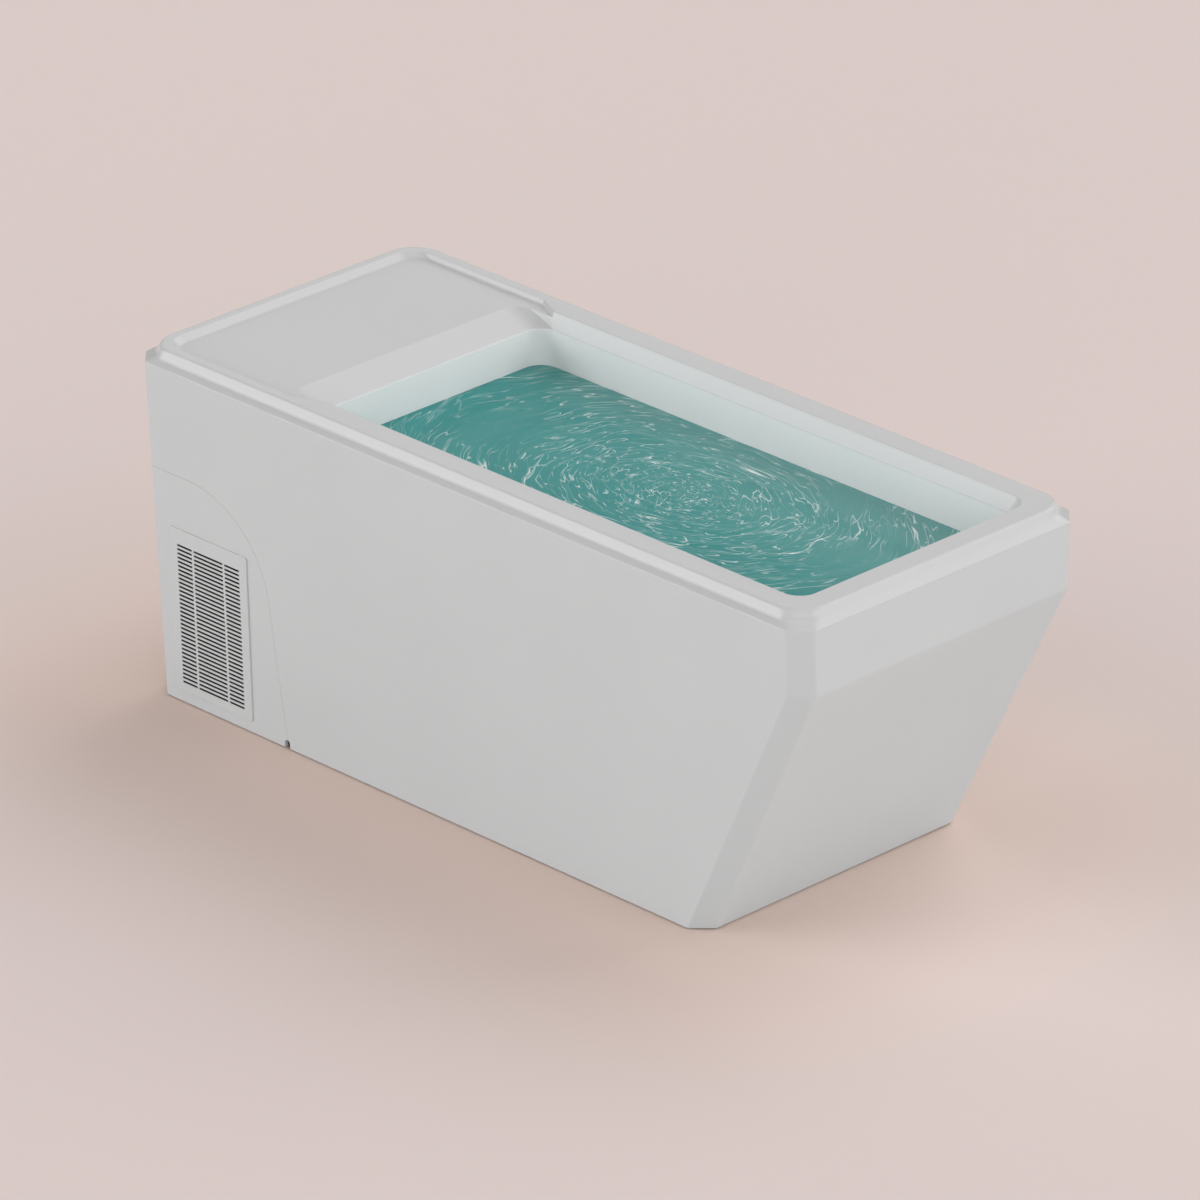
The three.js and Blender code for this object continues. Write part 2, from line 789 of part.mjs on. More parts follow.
/** The motor behind the strap, with its shaft reaching forward to the rotor. */
function fanMotorCan() {
  const onAxis = (y) => new THREE.Vector3(ventX, y, fanZ);
  const face = strapFront + strap.thickness + gap;
  const can = bar(onAxis(face), onAxis(face + fanMotor.length), fanMotor.radius);
  const shaftTip = onAxis(strapFront - fanMotor.shaftReach);
  return can.add(bar(shaftTip, onAxis(face + overcut), fanMotor.shaft, 12));
}

/** The rotor in its own frame, about +Z, with a blind bore for the shaft on its +Z side. */
function fanRotor() {
  const half = fan.depth / 2;
  const hub = bar(new THREE.Vector3(0, 0, -half), new THREE.Vector3(0, 0, half), fan.hub);
  const tip = THREE.MathUtils.degToRad(fan.tipAngle / 2);
  let rotor = hub;
  for (let i = 0; i < fan.blades; i++) {
    const outline = new THREE.Shape();
    outline.moveTo(fan.bladeRoot, -fan.rootWidth / 2);
    outline.absarc(0, 0, fan.radius, -tip, tip, false);
    outline.lineTo(fan.bladeRoot, fan.rootWidth / 2);
    const blade = new THREE.ExtrudeGeometry(outline, {
      depth: fan.bladeThickness,
      bevelEnabled: false,
      curveSegments: 4,
    });
    blade.translate(0, 0, -fan.bladeThickness / 2);
    blade.rotateX(THREE.MathUtils.degToRad(fan.pitch));
    blade.rotateZ((2 * Math.PI * i) / fan.blades);
    rotor = rotor.add(solid(blade));
  }
  const boreDepth = fanMotor.shaftReach - (strapFront - rotorY - half) + gap;
  const boreFloor = new THREE.Vector3(0, 0, half - boreDepth);
  const boreMouth = new THREE.Vector3(0, 0, half + overcut);
  const bore = bar(boreFloor, boreMouth, fanMotor.shaft + runningGap, 12);
  return rotor.subtract(bore);
}

const exchangerAt = new THREE.Vector3(-halfLength + exchanger.fromHead, exchanger.y, floorLevel);

/** A plate heat exchanger on its end, with water ports on its head side and top, gas ports on its sides. */
function heatExchanger() {
  const l = exchanger.length / 2;
  const w = exchanger.width / 2;
  const block = box(-l, l, -w, w, 0, exchanger.height);
  return ["waterIn", "waterOut", "gasIn", "gasOut"].reduce((all, name) => {
    const { at, towards, radius } = exchangerPorts()[name];
    const root = at.clone().sub(towards.clone().multiplyScalar(exchanger.stubLength + overcut));
    return all.add(bar(root, at, radius, radius > 10 ? 20 : 12));
  }, block);
}

function exchangerPorts() {
  const l = exchanger.length / 2 + exchanger.stubLength;
  const w = exchanger.width / 2 + exchanger.stubLength;
  const top = exchanger.height + exchanger.stubLength;
  const low = exchanger.gasPortInset;
  const high = exchanger.height - exchanger.gasPortInset;
  const vector = (x, y, z) => new THREE.Vector3(x, y, z);
  return {
    waterIn: { at: vector(-l, 0, filter.lowPort), towards: vector(-1, 0, 0), radius: hoseRadius },
    waterOut: { at: vector(0, 0, top), towards: vector(0, 0, 1), radius: hoseRadius },
    gasIn: { at: vector(0, -w, low), towards: vector(0, -1, 0), radius: exchanger.gasStub },
    gasOut: { at: vector(0, w, high), towards: vector(0, 1, 0), radius: exchanger.gasStub },
  };
}

/** A port's mouth in the part's frame, one gap clear of the stub's end. */
function exchangerPort(name) {
  const { at, towards } = exchangerPorts()[name];
  return at.clone().addScaledVector(towards, gap).add(exchangerAt);
}

const pumpAt = new THREE.Vector3(-halfLength + pump.fromHead, pump.y, floorLevel);

/** The pump lies along Y: motor to the far side, volute and inlet to the near side, outlet up. */
function circulationPump() {
  const { axisHeight, motorRadius, motorLength, volute, voluteWidth, stubLength } = pump;
  const at = (y, z) => new THREE.Vector3(0, y, z);
  const motor = bar(at(0, axisHeight), at(motorLength, axisHeight), motorRadius);
  const casing = bar(at(-voluteWidth, axisHeight), at(overcut, axisHeight), volute);
  const inlet = bar(at(-voluteWidth - stubLength, axisHeight), at(0, axisHeight), hoseRadius);
  const outletTop = at(-voluteWidth / 2, axisHeight + volute + stubLength);
  const outlet = bar(at(-voluteWidth / 2, axisHeight), outletTop, hoseRadius);
  const w = pump.footWidth / 2;
  const foot = box(-w, w, pump.footInset, motorLength - pump.footInset, 0, axisHeight);
  return motor.add(casing).add(inlet).add(outlet).add(foot);
}

function pumpInlet() {
  const y = -pump.voluteWidth - pump.stubLength - gap;
  return new THREE.Vector3(0, y, pump.axisHeight).add(pumpAt);
}

function pumpOutlet() {
  const z = pump.axisHeight + pump.volute + pump.stubLength + gap;
  return new THREE.Vector3(0, -pump.voluteWidth / 2, z).add(pumpAt);
}

const filterAt = new THREE.Vector3(-halfLength + filter.fromHead, filter.y, floorLevel);

/** An open-topped filter cup with a port on its foot side and one on its far side. */
function filterHousing() {
  const inner = filter.radius - filter.wall;
  const cup = turned([
    [0, 0],
    [filter.radius, 0],
    [filter.radius, filter.height],
    [inner, filter.height],
    [inner, filter.wall],
    [0, filter.wall],
  ]);
  const reach = filter.radius + filter.portLength;
  const at = (x, y, z) => new THREE.Vector3(x, y, z);
  const outlet = bar(at(0, 0, filter.lowPort), at(reach, 0, filter.lowPort), hoseRadius);
  const inlet = bar(at(0, 0, filter.highPort), at(0, reach, filter.highPort), hoseRadius);
  const core = turned([
    [0, filter.wall],
    [inner, filter.wall],
    [inner, filter.height + overcut],
    [0, filter.height + overcut],
  ]);
  return cup.add(outlet).add(inlet).subtract(core);
}

function filterPort(which) {
  const reach = filter.radius + filter.portLength + gap;
  const local = which
    ? new THREE.Vector3(0, reach, filter.highPort)
    : new THREE.Vector3(reach, 0, filter.lowPort);
  return local.add(filterAt);
}

/** A pleated cartridge, plain here: a thick tube that stands on the cup's floor. */
function filterCartridge() {
  return turned([
    [cartridge.bore, 0],
    [cartridge.radius, 0],
    [cartridge.radius, cartridge.height],
    [cartridge.bore, cartridge.height],
    [cartridge.bore, 0],
  ]);
}

/** A bayonet lid over the cup's rim with a bar to turn it by. */
function filterCap() {
  const disc = bar(
    new THREE.Vector3(0, 0, 0),
    new THREE.Vector3(0, 0, filterLid.thickness),
    filter.radius + filterLid.overhang,
    24,
  );
  const w = filterLid.handleWidth / 2;
  const l = filterLid.handleLength / 2;
  const top = filterLid.thickness + filterLid.handleHeight;
  return disc.add(box(-l, l, -w, w, filterLid.thickness - overcut, top));
}

// Hoses and refrigerant lines: their mouths come from the ports, their middles are chosen routes

function fittingTail({ y, z }) {
  return new THREE.Vector3(bulkheadFront - fitting.reach - gap, y, z);
}

function route(from, towards, middles, to, arrives, lead) {
  const start = from.clone().addScaledVector(towards, lead);
  const end = to.clone().addScaledVector(arrives, -lead);
  return [from, start, ...middles, end, to];
}

const plusX = new THREE.Vector3(1, 0, 0);
const plusY = new THREE.Vector3(0, 1, 0);
const plusZ = new THREE.Vector3(0, 0, 1);

function suctionHose() {
  const from = fittingTail(suctionPlace);
  const to = pumpInlet();
  const { lead, y, rise, turn } = suctionRoute;
  const middle = new THREE.Vector3((from.x + to.x) / 2, suctionPlace.y + y, (from.z + to.z) / 2 + rise);
  const bend = new THREE.Vector3(turn.x, turn.y, turn.z).add(to);
  return tube(route(from, plusX.clone().negate(), [middle, bend], to, plusY, lead), hoseRadius, 20);
}

function pumpHose() {
  const from = pumpOutlet();
  const to = filterPort(1);
  return tube(route(from, plusZ, [], to, plusY.clone().negate(), pumpLead), hoseRadius, 14);
}

function filterHose() {
  const from = filterPort(0);
  const to = exchangerPort("waterIn");
  return tube(route(from, plusX, [], to, plusX, filterLead), hoseRadius, 8);
}

function returnHose() {
  const from = exchangerPort("waterOut");
  const to = fittingTail(returnPlace);
  return tube(route(from, plusZ, [], to, plusX, returnLead), hoseRadius, 16);
}

function dischargeLine() {
  const from = compressorPort(0);
  const to = condenserPort(1);
  const { lead, standOff, drop, farRun, nearRun } = dischargeRoute;
  const x = bulkheadFront - standOff;
  const high = floorLevel + condenser.height - drop;
  const middles = [from.y - farRun, to.y + nearRun].map((y) => new THREE.Vector3(x, y, high));
  return tube(route(from, plusZ, middles, to, plusX.clone().negate(), lead), lineRadius, 28);
}

function liquidLine() {
  const from = condenserPort(0);
  const to = exchangerPort("gasIn");
  return tube(route(from, plusX, [], to, plusY, liquidLead), lineRadius, 14);
}

function suctionLine() {
  const from = exchangerPort("gasOut");
  const to = compressorPort(1);
  const { lead, rise } = suctionLineRoute;
  const middle = new THREE.Vector3((from.x + to.x) / 2, (from.y + to.y) / 2, to.z + rise);
  return tube(route(from, plusY, [middle], to, plusZ.clone().negate(), lead), lineRadius, 20);
}

// Controls

const controlFront = bulkheadFront - gap - controlBox.depth;
const rockerY = controlBox.y - controlBox.width / 2 + rockerPlace.y;
const rockerZ = controlBox.z + rockerPlace.z;

function controlEnclosure() {
  const half = controlBox.width / 2;
  const back = bulkheadFront - gap;
  const { y, z, height } = controlBox;
  const enclosure = box(controlFront, back, y - half, y + half, z, z + height);
  const w = rockerSize.width / 2 + gap;
  const h = rockerSize.height / 2 + rockerSize.endGap;
  const depth = rockerSize.root + rockerSize.crown;
  const inside = controlFront + depth;
  return enclosure.subtract(
    box(controlFront - overcut, inside, rockerY - w, rockerY + w, rockerZ - h, rockerZ + h),
  );
}

/** A rocker on a cross axis, drawn looking along the axis with its face towards -X. */
function powerRocker() {
  const { height, crown, valley, root } = rockerSize;
  const shape = new THREE.Shape();
  shape.moveTo(root, 0);
  shape.lineTo(0, height / 2);
  shape.lineTo(-crown, height / 2);
  shape.lineTo(-valley, 0);
  shape.lineTo(-crown, -height / 2);
  shape.lineTo(0, -height / 2);
  return sidePrism(shape, -rockerSize.width / 2, rockerSize.width / 2);
}

/** A cable gland under the control box, blanked, turned about +Z. */
function powerGland() {
  const { radius, length, nut, nutLength } = gland;
  return turned(
    [
      [0, 0],
      [radius, 0],
      [radius, length - nutLength],
      [nut, length - nutLength],
      [nut, length],
      [0, length],
    ],
    6,
  );
}

// Finishes
const finishes = {
  shell: { color: 0xd9dad9, roughness: 0.45, metalness: 0 },
  moulding: { color: 0xdcdddc, roughness: 0.3, metalness: 0 },
  liner: { color: 0xd3dcdc, roughness: 0.25, metalness: 0 },
  foam: { color: 0xe6dcb8, roughness: 0.95, metalness: 0 },
  plywood: { color: 0xb58f62, roughness: 0.8, metalness: 0 },
  rubber: { color: 0x17181a, roughness: 0.85, metalness: 0 },
  steel: { color: 0x9ea3a6, roughness: 0.35, metalness: 1 },
  painted: { color: 0x1d1f22, roughness: 0.5, metalness: 0.4 },
  copper: { color: 0xb8734a, roughness: 0.3, metalness: 1 },
  aluminium: { color: 0xb9bdc0, roughness: 0.45, metalness: 1 },
  plastic: { color: 0x2c2f33, roughness: 0.55, metalness: 0 },
  fitting: { color: 0xe9ebea, roughness: 0.35, metalness: 0 },
  paper: { color: 0xe4e8ea, roughness: 0.9, metalness: 0 },
  brass: { color: 0xb39a58, roughness: 0.35, metalness: 1 },
  lever: { color: 0xb3261e, roughness: 0.5, metalness: 0 },
};

// Assembly
const tub = new THREE.Group();

function piece(name, body, finish, parent = tub) {
  const mesh = new THREE.Mesh(geometryOf(body), new THREE.MeshStandardMaterial(finishes[finish]));
  mesh.name = name;
  parent.add(mesh);
  return mesh;
}

function place(mesh, at) {
  mesh.position.copy(at);
  return mesh;
}

piece("near_side_panel", sidePanel(-1), "shell");
piece("far_side_panel", sidePanel(1), "shell");
piece("foot_end_panel", endPanel(0, far), "shell");
piece("head_end_panel", endPanel(-far, 0), "shell");
piece("service_cover", serviceCover(), "shell");
piece("cover_catch_rail", catchRail(), "steel");

for (const [name, side] of [["near", -1], ["far", 1]]) {
  const wall = wallsAt(ventCentre.z).y1;
  const lean = Math.atan(sideDraft / shellTop);
  const seat = new THREE.Group();
  seat.position.set(ventX, side * (wall + gap), ventCentre.z);
  seat.rotation.set(side < 0 ? Math.PI / 2 + lean : -Math.PI / 2 - lean, 0, 0);
  tub.add(seat);
  const plate = side < 0 ? ventGrille() : ventGrille().mirror([0, 1, 0]);
  piece(`vent_grille_${name}`, plate, "shell", seat);
}

piece("rim_and_deck", rimAndDeck(), "moulding");
piece("basin_liner", basinLiner(), "liner");
piece("insulation_foam", insulationFoam(), "foam");
piece("bulkhead", bulkhead(), "plastic");

piece("base_board", baseBoard(), "plywood");
piece("bearer_near", bearerBar(-1), "plywood");
piece("bearer_far", bearerBar(1), "plywood");
const padEnds = [boardExtents().x0 + padInset, boardExtents().x1 - padInset];
let padNumber = 1;
for (const side of [-1, 1]) {
  for (const x of [padEnds[0], (padEnds[0] + padEnds[1]) / 2, padEnds[1]]) {
    const foot = new THREE.Vector3(0, 0, 0);
    const body = bar(foot, new THREE.Vector3(0, 0, padHeight - gap), padRadius);
    const at = new THREE.Vector3(x, bearerY(side), 0);
    place(piece(`foot_pad_${padNumber}`, body, "rubber"), at);
    padNumber += 1;
  }
}

for (const [name, { y, z }] of [["suction_fitting", suctionPlace], ["return_fitting", returnPlace]]) {
  const mesh = place(piece(name, wallFitting(), "fitting"), new THREE.Vector3(basinHeadX, y, z));
  mesh.rotation.set(0, Math.PI / 2, 0);
}
place(piece("floor_drain", floorDrain(), "fitting"), new THREE.Vector3(drainX, 0, basinFloor));
piece("drain_pipe", drainPipe(), "fitting");
place(piece("drain_valve_body", drainValveBody(), "brass"), new THREE.Vector3(valveX, 0, drainPipeZ));
const stemTop = drainPipeZ + valve.radius + valve.stemHeight;
const leverMesh = piece("drain_valve_lever", drainValveLever(), "lever");
place(leverMesh, new THREE.Vector3(valveX, 0, stemTop - lever.thickness + gap));
leverMesh.rotation.set(0, 0, -Math.PI / 2);
const tailMesh = piece("drain_hose_tail", drainHoseTail(), "brass");
place(tailMesh, new THREE.Vector3(valveX - valve.length / 2 - gap, 0, drainPipeZ));
tailMesh.rotation.set(0, -Math.PI / 2, 0);

place(piece("compressor", compressorCan(), "painted"), compressorAt);
piece("condenser_coil", condenserCoil(), "aluminium");
piece("fan_shroud", fanShroud(), "steel");
piece("fan_motor", fanMotorCan(), "painted");
const rotor = place(piece("fan_rotor", fanRotor(), "plastic"), new THREE.Vector3(ventX, rotorY, fanZ));
rotor.rotation.set(-Math.PI / 2, 0, 0);
place(piece("heat_exchanger", heatExchanger(), "steel"), exchangerAt);
piece("discharge_line", dischargeLine(), "copper");
piece("liquid_line", liquidLine(), "copper");
piece("suction_line", suctionLine(), "copper");

place(piece("circulation_pump", circulationPump(), "plastic"), pumpAt);
place(piece("filter_housing", filterHousing(), "fitting"), filterAt);
const cupFloor = new THREE.Vector3(0, 0, filter.wall + gap);
place(piece("filter_cartridge", filterCartridge(), "paper"), cupFloor.add(filterAt));
const cupTop = new THREE.Vector3(0, 0, filter.height + gap);
place(piece("filter_lid", filterCap(), "plastic"), cupTop.add(filterAt));
piece("suction_hose", suctionHose(), "rubber");
piece("pump_hose", pumpHose(), "rubber");
piece("filter_hose", filterHose(), "rubber");
piece("return_hose", returnHose(), "rubber");

piece("control_box", controlEnclosure(), "plastic");
const rockerAt = new THREE.Vector3(controlFront, rockerY, rockerZ);
const rocker = place(piece("power_rocker", powerRocker(), "lever"), rockerAt);
rocker.rotation.set(0, THREE.MathUtils.degToRad(rockerSize.tilt), 0);
const glandY = controlBox.y - controlBox.width / 2 + gland.y;
const glandX = controlFront + controlBox.depth / 2;
const glandAt = new THREE.Vector3(glandX, glandY, controlBox.z - gap - gland.length);
place(piece("power_gland", powerGland(), "plastic"), glandAt);

export default tub;
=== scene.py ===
import math

import bmesh
import bpy
from mathutils import Matrix, Vector, noise


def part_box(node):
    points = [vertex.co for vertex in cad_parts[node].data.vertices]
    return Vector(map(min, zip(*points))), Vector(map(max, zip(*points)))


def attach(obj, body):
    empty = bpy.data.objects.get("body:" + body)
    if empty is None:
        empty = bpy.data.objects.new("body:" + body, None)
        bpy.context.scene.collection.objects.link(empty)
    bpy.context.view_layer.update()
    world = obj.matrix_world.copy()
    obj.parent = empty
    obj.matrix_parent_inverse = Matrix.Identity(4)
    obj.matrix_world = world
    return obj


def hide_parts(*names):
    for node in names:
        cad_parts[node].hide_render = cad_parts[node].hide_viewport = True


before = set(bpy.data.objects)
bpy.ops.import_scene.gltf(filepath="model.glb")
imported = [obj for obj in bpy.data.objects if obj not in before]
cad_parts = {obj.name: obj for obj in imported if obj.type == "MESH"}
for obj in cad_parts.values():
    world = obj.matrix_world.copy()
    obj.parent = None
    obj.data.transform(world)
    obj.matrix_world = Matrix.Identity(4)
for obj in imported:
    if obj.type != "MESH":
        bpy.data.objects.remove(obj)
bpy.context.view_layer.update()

MM = 0.001

# Sizes of the shell, the rim and the basin, taken from the frame or given in millimetres
RIM_LOW, RIM_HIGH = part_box("rim_and_deck")
PANEL_LOW, PANEL_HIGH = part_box("near_side_panel")
GRILLE_LOW, GRILLE_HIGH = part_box("vent_grille_near")
HALF_LENGTH = RIM_HIGH.x
HALF_WIDTH = RIM_HIGH.y
RIM_TOP = RIM_HIGH.z
BAND_FOOT = RIM_LOW.z
SHELL_TOP = PANEL_HIGH.z
SKIRT_BOTTOM = PANEL_LOW.z
SKIN = 8 * MM
SIDE_DRAFT = 23 * MM
HEAD_DRAFT = 22 * MM
CORNER_LEG = 40 * MM
KNEE_HEIGHT = 600 * MM
KNEE_ROUND = 7 * MM
FOOT_LEAN = 282 * MM
EDGE_ROUND = 9 * MM
SEAM_TOP = 514 * MM
SEAM_FOOT = 425 * MM
SEAM_LEAN = math.radians(7.75)
SEAM_RADIUS = 229 * MM
SEAM_GAP = 0.45 * MM
SEAM_EDGE = 0.35 * MM
NOTCH_WIDTH = 15 * MM
NOTCH_HEIGHT = 17 * MM
WINDOW_MARGIN = 8 * MM
FIT_GAP = 0.3 * MM

RIM_EDGE = 1.8 * MM
RIM_EDGE_ROUND = 2.9 * MM
SHOULDER_ROUND = 7 * MM
LIP_FLAT = 8 * MM
LIP_START = 4 * MM
LIP_SOFTNESS = 55 * MM
CREASE_RISE = 0.6 * MM
CREASE_FALL = 2.4 * MM
COVE_REACH = 8 * MM
LEDGE_WIDTH = {"side": 15.5 * MM, "head": 16 * MM, "foot": 14.5 * MM}
LEDGE_RISE = 11 * MM
SHOULDER_INSET = {"side": 21.5 * MM, "head": 23 * MM, "foot": 22 * MM}
DECK_LENGTH = 383 * MM
DECK_DROP = 12 * MM
RECESS_LIP = {"head": 44 * MM, "side": 47 * MM}
RECESS_BEVEL = {"head": 14 * MM, "side": 4.5 * MM}
RECESS_EDGE_ROUND = 3 * MM
RECESS_FOOT_ROUND = {"head": 10 * MM, "side": 9 * MM}
RECESS_CORNER = 47 * MM
RECESS_TAPER = (42 * MM, 107 * MM)
OPENING_INSET = 74.5 * MM
BAND_RUN = 13 * MM
BAND_EDGE_ROUND = 4 * MM
BAND_FADE = 6 * MM
# Share of the basin's painted light that the band under the lip takes
BAND_PAINTED_LIGHT = 0.2
HEAD_SLOPE_RUN = 80 * MM
BASIN_CORNER = 43 * MM
BASIN_FLOOR = 118 * MM
BASIN_DRAFT = 8 * MM
FLOOR_FILLET = 40 * MM
FOOT_WALL_DEPTH = 91 * MM
MID_WALL = 700 * MM
MOULDING_SKIN = 3 * MM
CORNER_STEPS = 14
HEAD_CLEARANCE = 16 * MM
SLOPE_SHARES = (0.02, 0.15, 0.3, 0.5, 0.7, 0.85, 1.0)

DECK_LEVEL = RIM_TOP - DECK_DROP
DECK_EDGE_X = -HALF_LENGTH + DECK_LENGTH
BASIN_HEAD_X = DECK_EDGE_X + HEAD_SLOPE_RUN
BAND_DROP = RIM_TOP - BAND_FOOT
MOUTH_HALF = HALF_WIDTH - OPENING_INSET
BASIN_HALF = MOUTH_HALF - BAND_RUN
TAPER_END_X = DECK_EDGE_X + RECESS_TAPER[1]

WATER_LEVEL = 659 * MM
WATER_DEPTH = 120 * MM
WATER_CLEARANCE = 0.4 * MM
WATER_GRID = (190, 400)
RIPPLE_HEIGHT = 0.9 * MM
# The swirl's middle, how much longer than wide it is, and where the painted reflection of the sky starts,
# in metres
SWIRL_X = 0.19
SWIRL_Y = 0.045
SWIRL_SQUEEZE = 0.7
SWIRL_CORE = 0.02
PAINTED_GLARE_X = 0.34
# Patches without the painted crest highlights: place along and across the basin, and size
CALM_PATCHES = ((-0.29, 0.02, 0.12), (0.65, 0.05, 0.1), (0.44, 0.28, 0.09))


# Shader arithmetic

def arithmetic(operation, reflected=False):
    """A method that joins a signal to another value by one Math node."""

    def combine(self, other):
        values = (other, self) if reflected else (self, other)
        return self.math(operation, *values)

    return combine


class Signal:
    """A node's socket that takes part in sums: each operation adds one Math node."""

    def __init__(self, graph, socket):
        self.graph = graph
        self.socket = socket

    def math(self, operation, *values):
        return self.graph.node("ShaderNodeMath", dict(enumerate(values)), {"operation": operation})

    __add__ = arithmetic("ADD")
    __radd__ = arithmetic("ADD", True)
    __sub__ = arithmetic("SUBTRACT")
    __rsub__ = arithmetic("SUBTRACT", True)
    __mul__ = arithmetic("MULTIPLY")
    __rmul__ = arithmetic("MULTIPLY", True)
    __truediv__ = arithmetic("DIVIDE")
    __rtruediv__ = arithmetic("DIVIDE", True)
    __pow__ = arithmetic("POWER")
    __rpow__ = arithmetic("POWER", True)
    least = arithmetic("MINIMUM")
    most = arithmetic("MAXIMUM")

    def size(self):
        return self.math("ABSOLUTE", self)

    def root(self):
        return self.math("SQRT", self)

    def wave(self):
        return self.math("SINE", self)

    def step(self, low, high):
        """0 below low, 1 above high, smooth between them."""
        sockets = {"Value": self, "From Min": low, "From Max": high}
        return self.graph.node("ShaderNodeMapRange", sockets, {"interpolation_type": "SMOOTHSTEP"})


class Graph:
    """A node tree in the making."""

    def feed(self, socket, value):
        if isinstance(value, Signal):
            self.tree.links.new(value.socket, socket)
        else:
            socket.default_value = value

    def node(self, kind, sockets=None, settings=None, output=0):
        """Adds a node, fed and set, and gives one of its outputs."""
        made = self.tree.nodes.new(kind)
        for key, value in (settings or {}).items():
            setattr(made, key, value)
        for key, value in (sockets or {}).items():
            self.feed(made.inputs[key], value)
        return Signal(self, made.outputs[output])


class Finish(Graph):
    """A material in the making: a Principled shader and the nodes that feed it."""

    def __init__(self, name, constants):
        self.material = bpy.data.materials.new(name)
        self.material.use_nodes = True
        self.tree = self.material.node_tree
        self.shader = self.tree.nodes["Principled BSDF"]
        self.surface(constants)

    def surface(self, sockets):
        for key, value in sockets.items():
            self.feed(self.shader.inputs[key], value)

    def done(self, tone, roughness, height, strength, distance):
        """The finished material, with its bumps from a height."""
        sockets = {"Height": height, "Strength": strength, "Distance": distance}
        bumps = self.node("ShaderNodeBump", sockets)
        self.surface({"Base Color": tone, "Roughness": roughness, "Normal": bumps})
        return self.material

    def place(self):
        """The surface's own object coordinates."""
        return self.node("ShaderNodeTexCoord", output="Object")

    def axes(self):
        first = self.node("ShaderNodeSeparateXYZ", {"Vector": self.place()})
        outputs = first.socket.node.outputs
        return [Signal(self, outputs[name]) for name in ("X", "Y", "Z")]

    def stretched(self, scale):
        return self.node("ShaderNodeMapping", {"Vector": self.place(), "Scale": scale})

    def noise(self, vector, scale, detail=3.0, roughness=0.5, distortion=0.0):
        sockets = {"Vector": vector, "Scale": scale, "Detail": detail}
        sockets |= {"Roughness": roughness, "Distortion": distortion}
        return self.node("ShaderNodeTexNoise", sockets)

    def speckle(self, scale, detail):
        return self.noise(self.place(), scale, detail)

    def cells(self, scale, output):
        return self.node("ShaderNodeTexVoronoi", {"Vector": self.place(), "Scale": scale}, output=output)

    def mix(self, share, first, second):
        """A colour between two colours."""
        return self.node("ShaderNodeMix", {0: share, 6: first, 7: second}, {"data_type": "RGBA"}, 2)


def colour(red, green, blue):
    """A colour given in display values from 0 to 255, as linear light."""

    def linear(value):
        share = value / 255
        return share / 12.92 if share <= 0.04045 else ((share + 0.055) / 1.055) ** 2.4

    return (linear(red), linear(green), linear(blue), 1.0)


def toned(tone, share):
    return tuple(channel * share for channel in tone[:3]) + (1.0,)


# Finishes

def shell_plastic():
    """Moulded plastic: a faint mottle, a fine grain and a roughness that drifts a little."""
    finish = Finish("shell_plastic", {"IOR": 1.46})
    tone = colour(206, 206, 206)
    mottle = finish.mix(finish.speckle(3.0, 4.0), toned(tone, 0.97), toned(tone, 1.03))
    fine = finish.speckle(420.0, 2.0)
    return finish.done(mottle, 0.37 + 0.1 * fine, finish.speckle(1500.0, 2.0), 0.06, 0.0002)


def tub_plastic():
    """The tub's gloss moulding: the shell's tone outside and on the lip, and inside the basin a whiter
    tone that is painted light.
    """
    finish = Finish("tub_plastic", {"IOR": 1.48})
    cloud = finish.speckle(3.0, 4.0)
    inside = finish.node("ShaderNodeAttribute", {}, {"attribute_name": "inside"}, "Fac")
    outer = finish.mix(cloud, colour(204, 204, 204), colour(208, 208, 208))
    # painted light: a near-white tone on the basin's walls stands in for light that reaches them
    inner = finish.mix(cloud, colour(247, 245, 245), colour(250, 248, 248))
    fine = finish.speckle(420.0, 2.0)
    return finish.done(finish.mix(inside, outer, inner), 0.21 + 0.08 * fine, fine, 0.04, 0.0002)


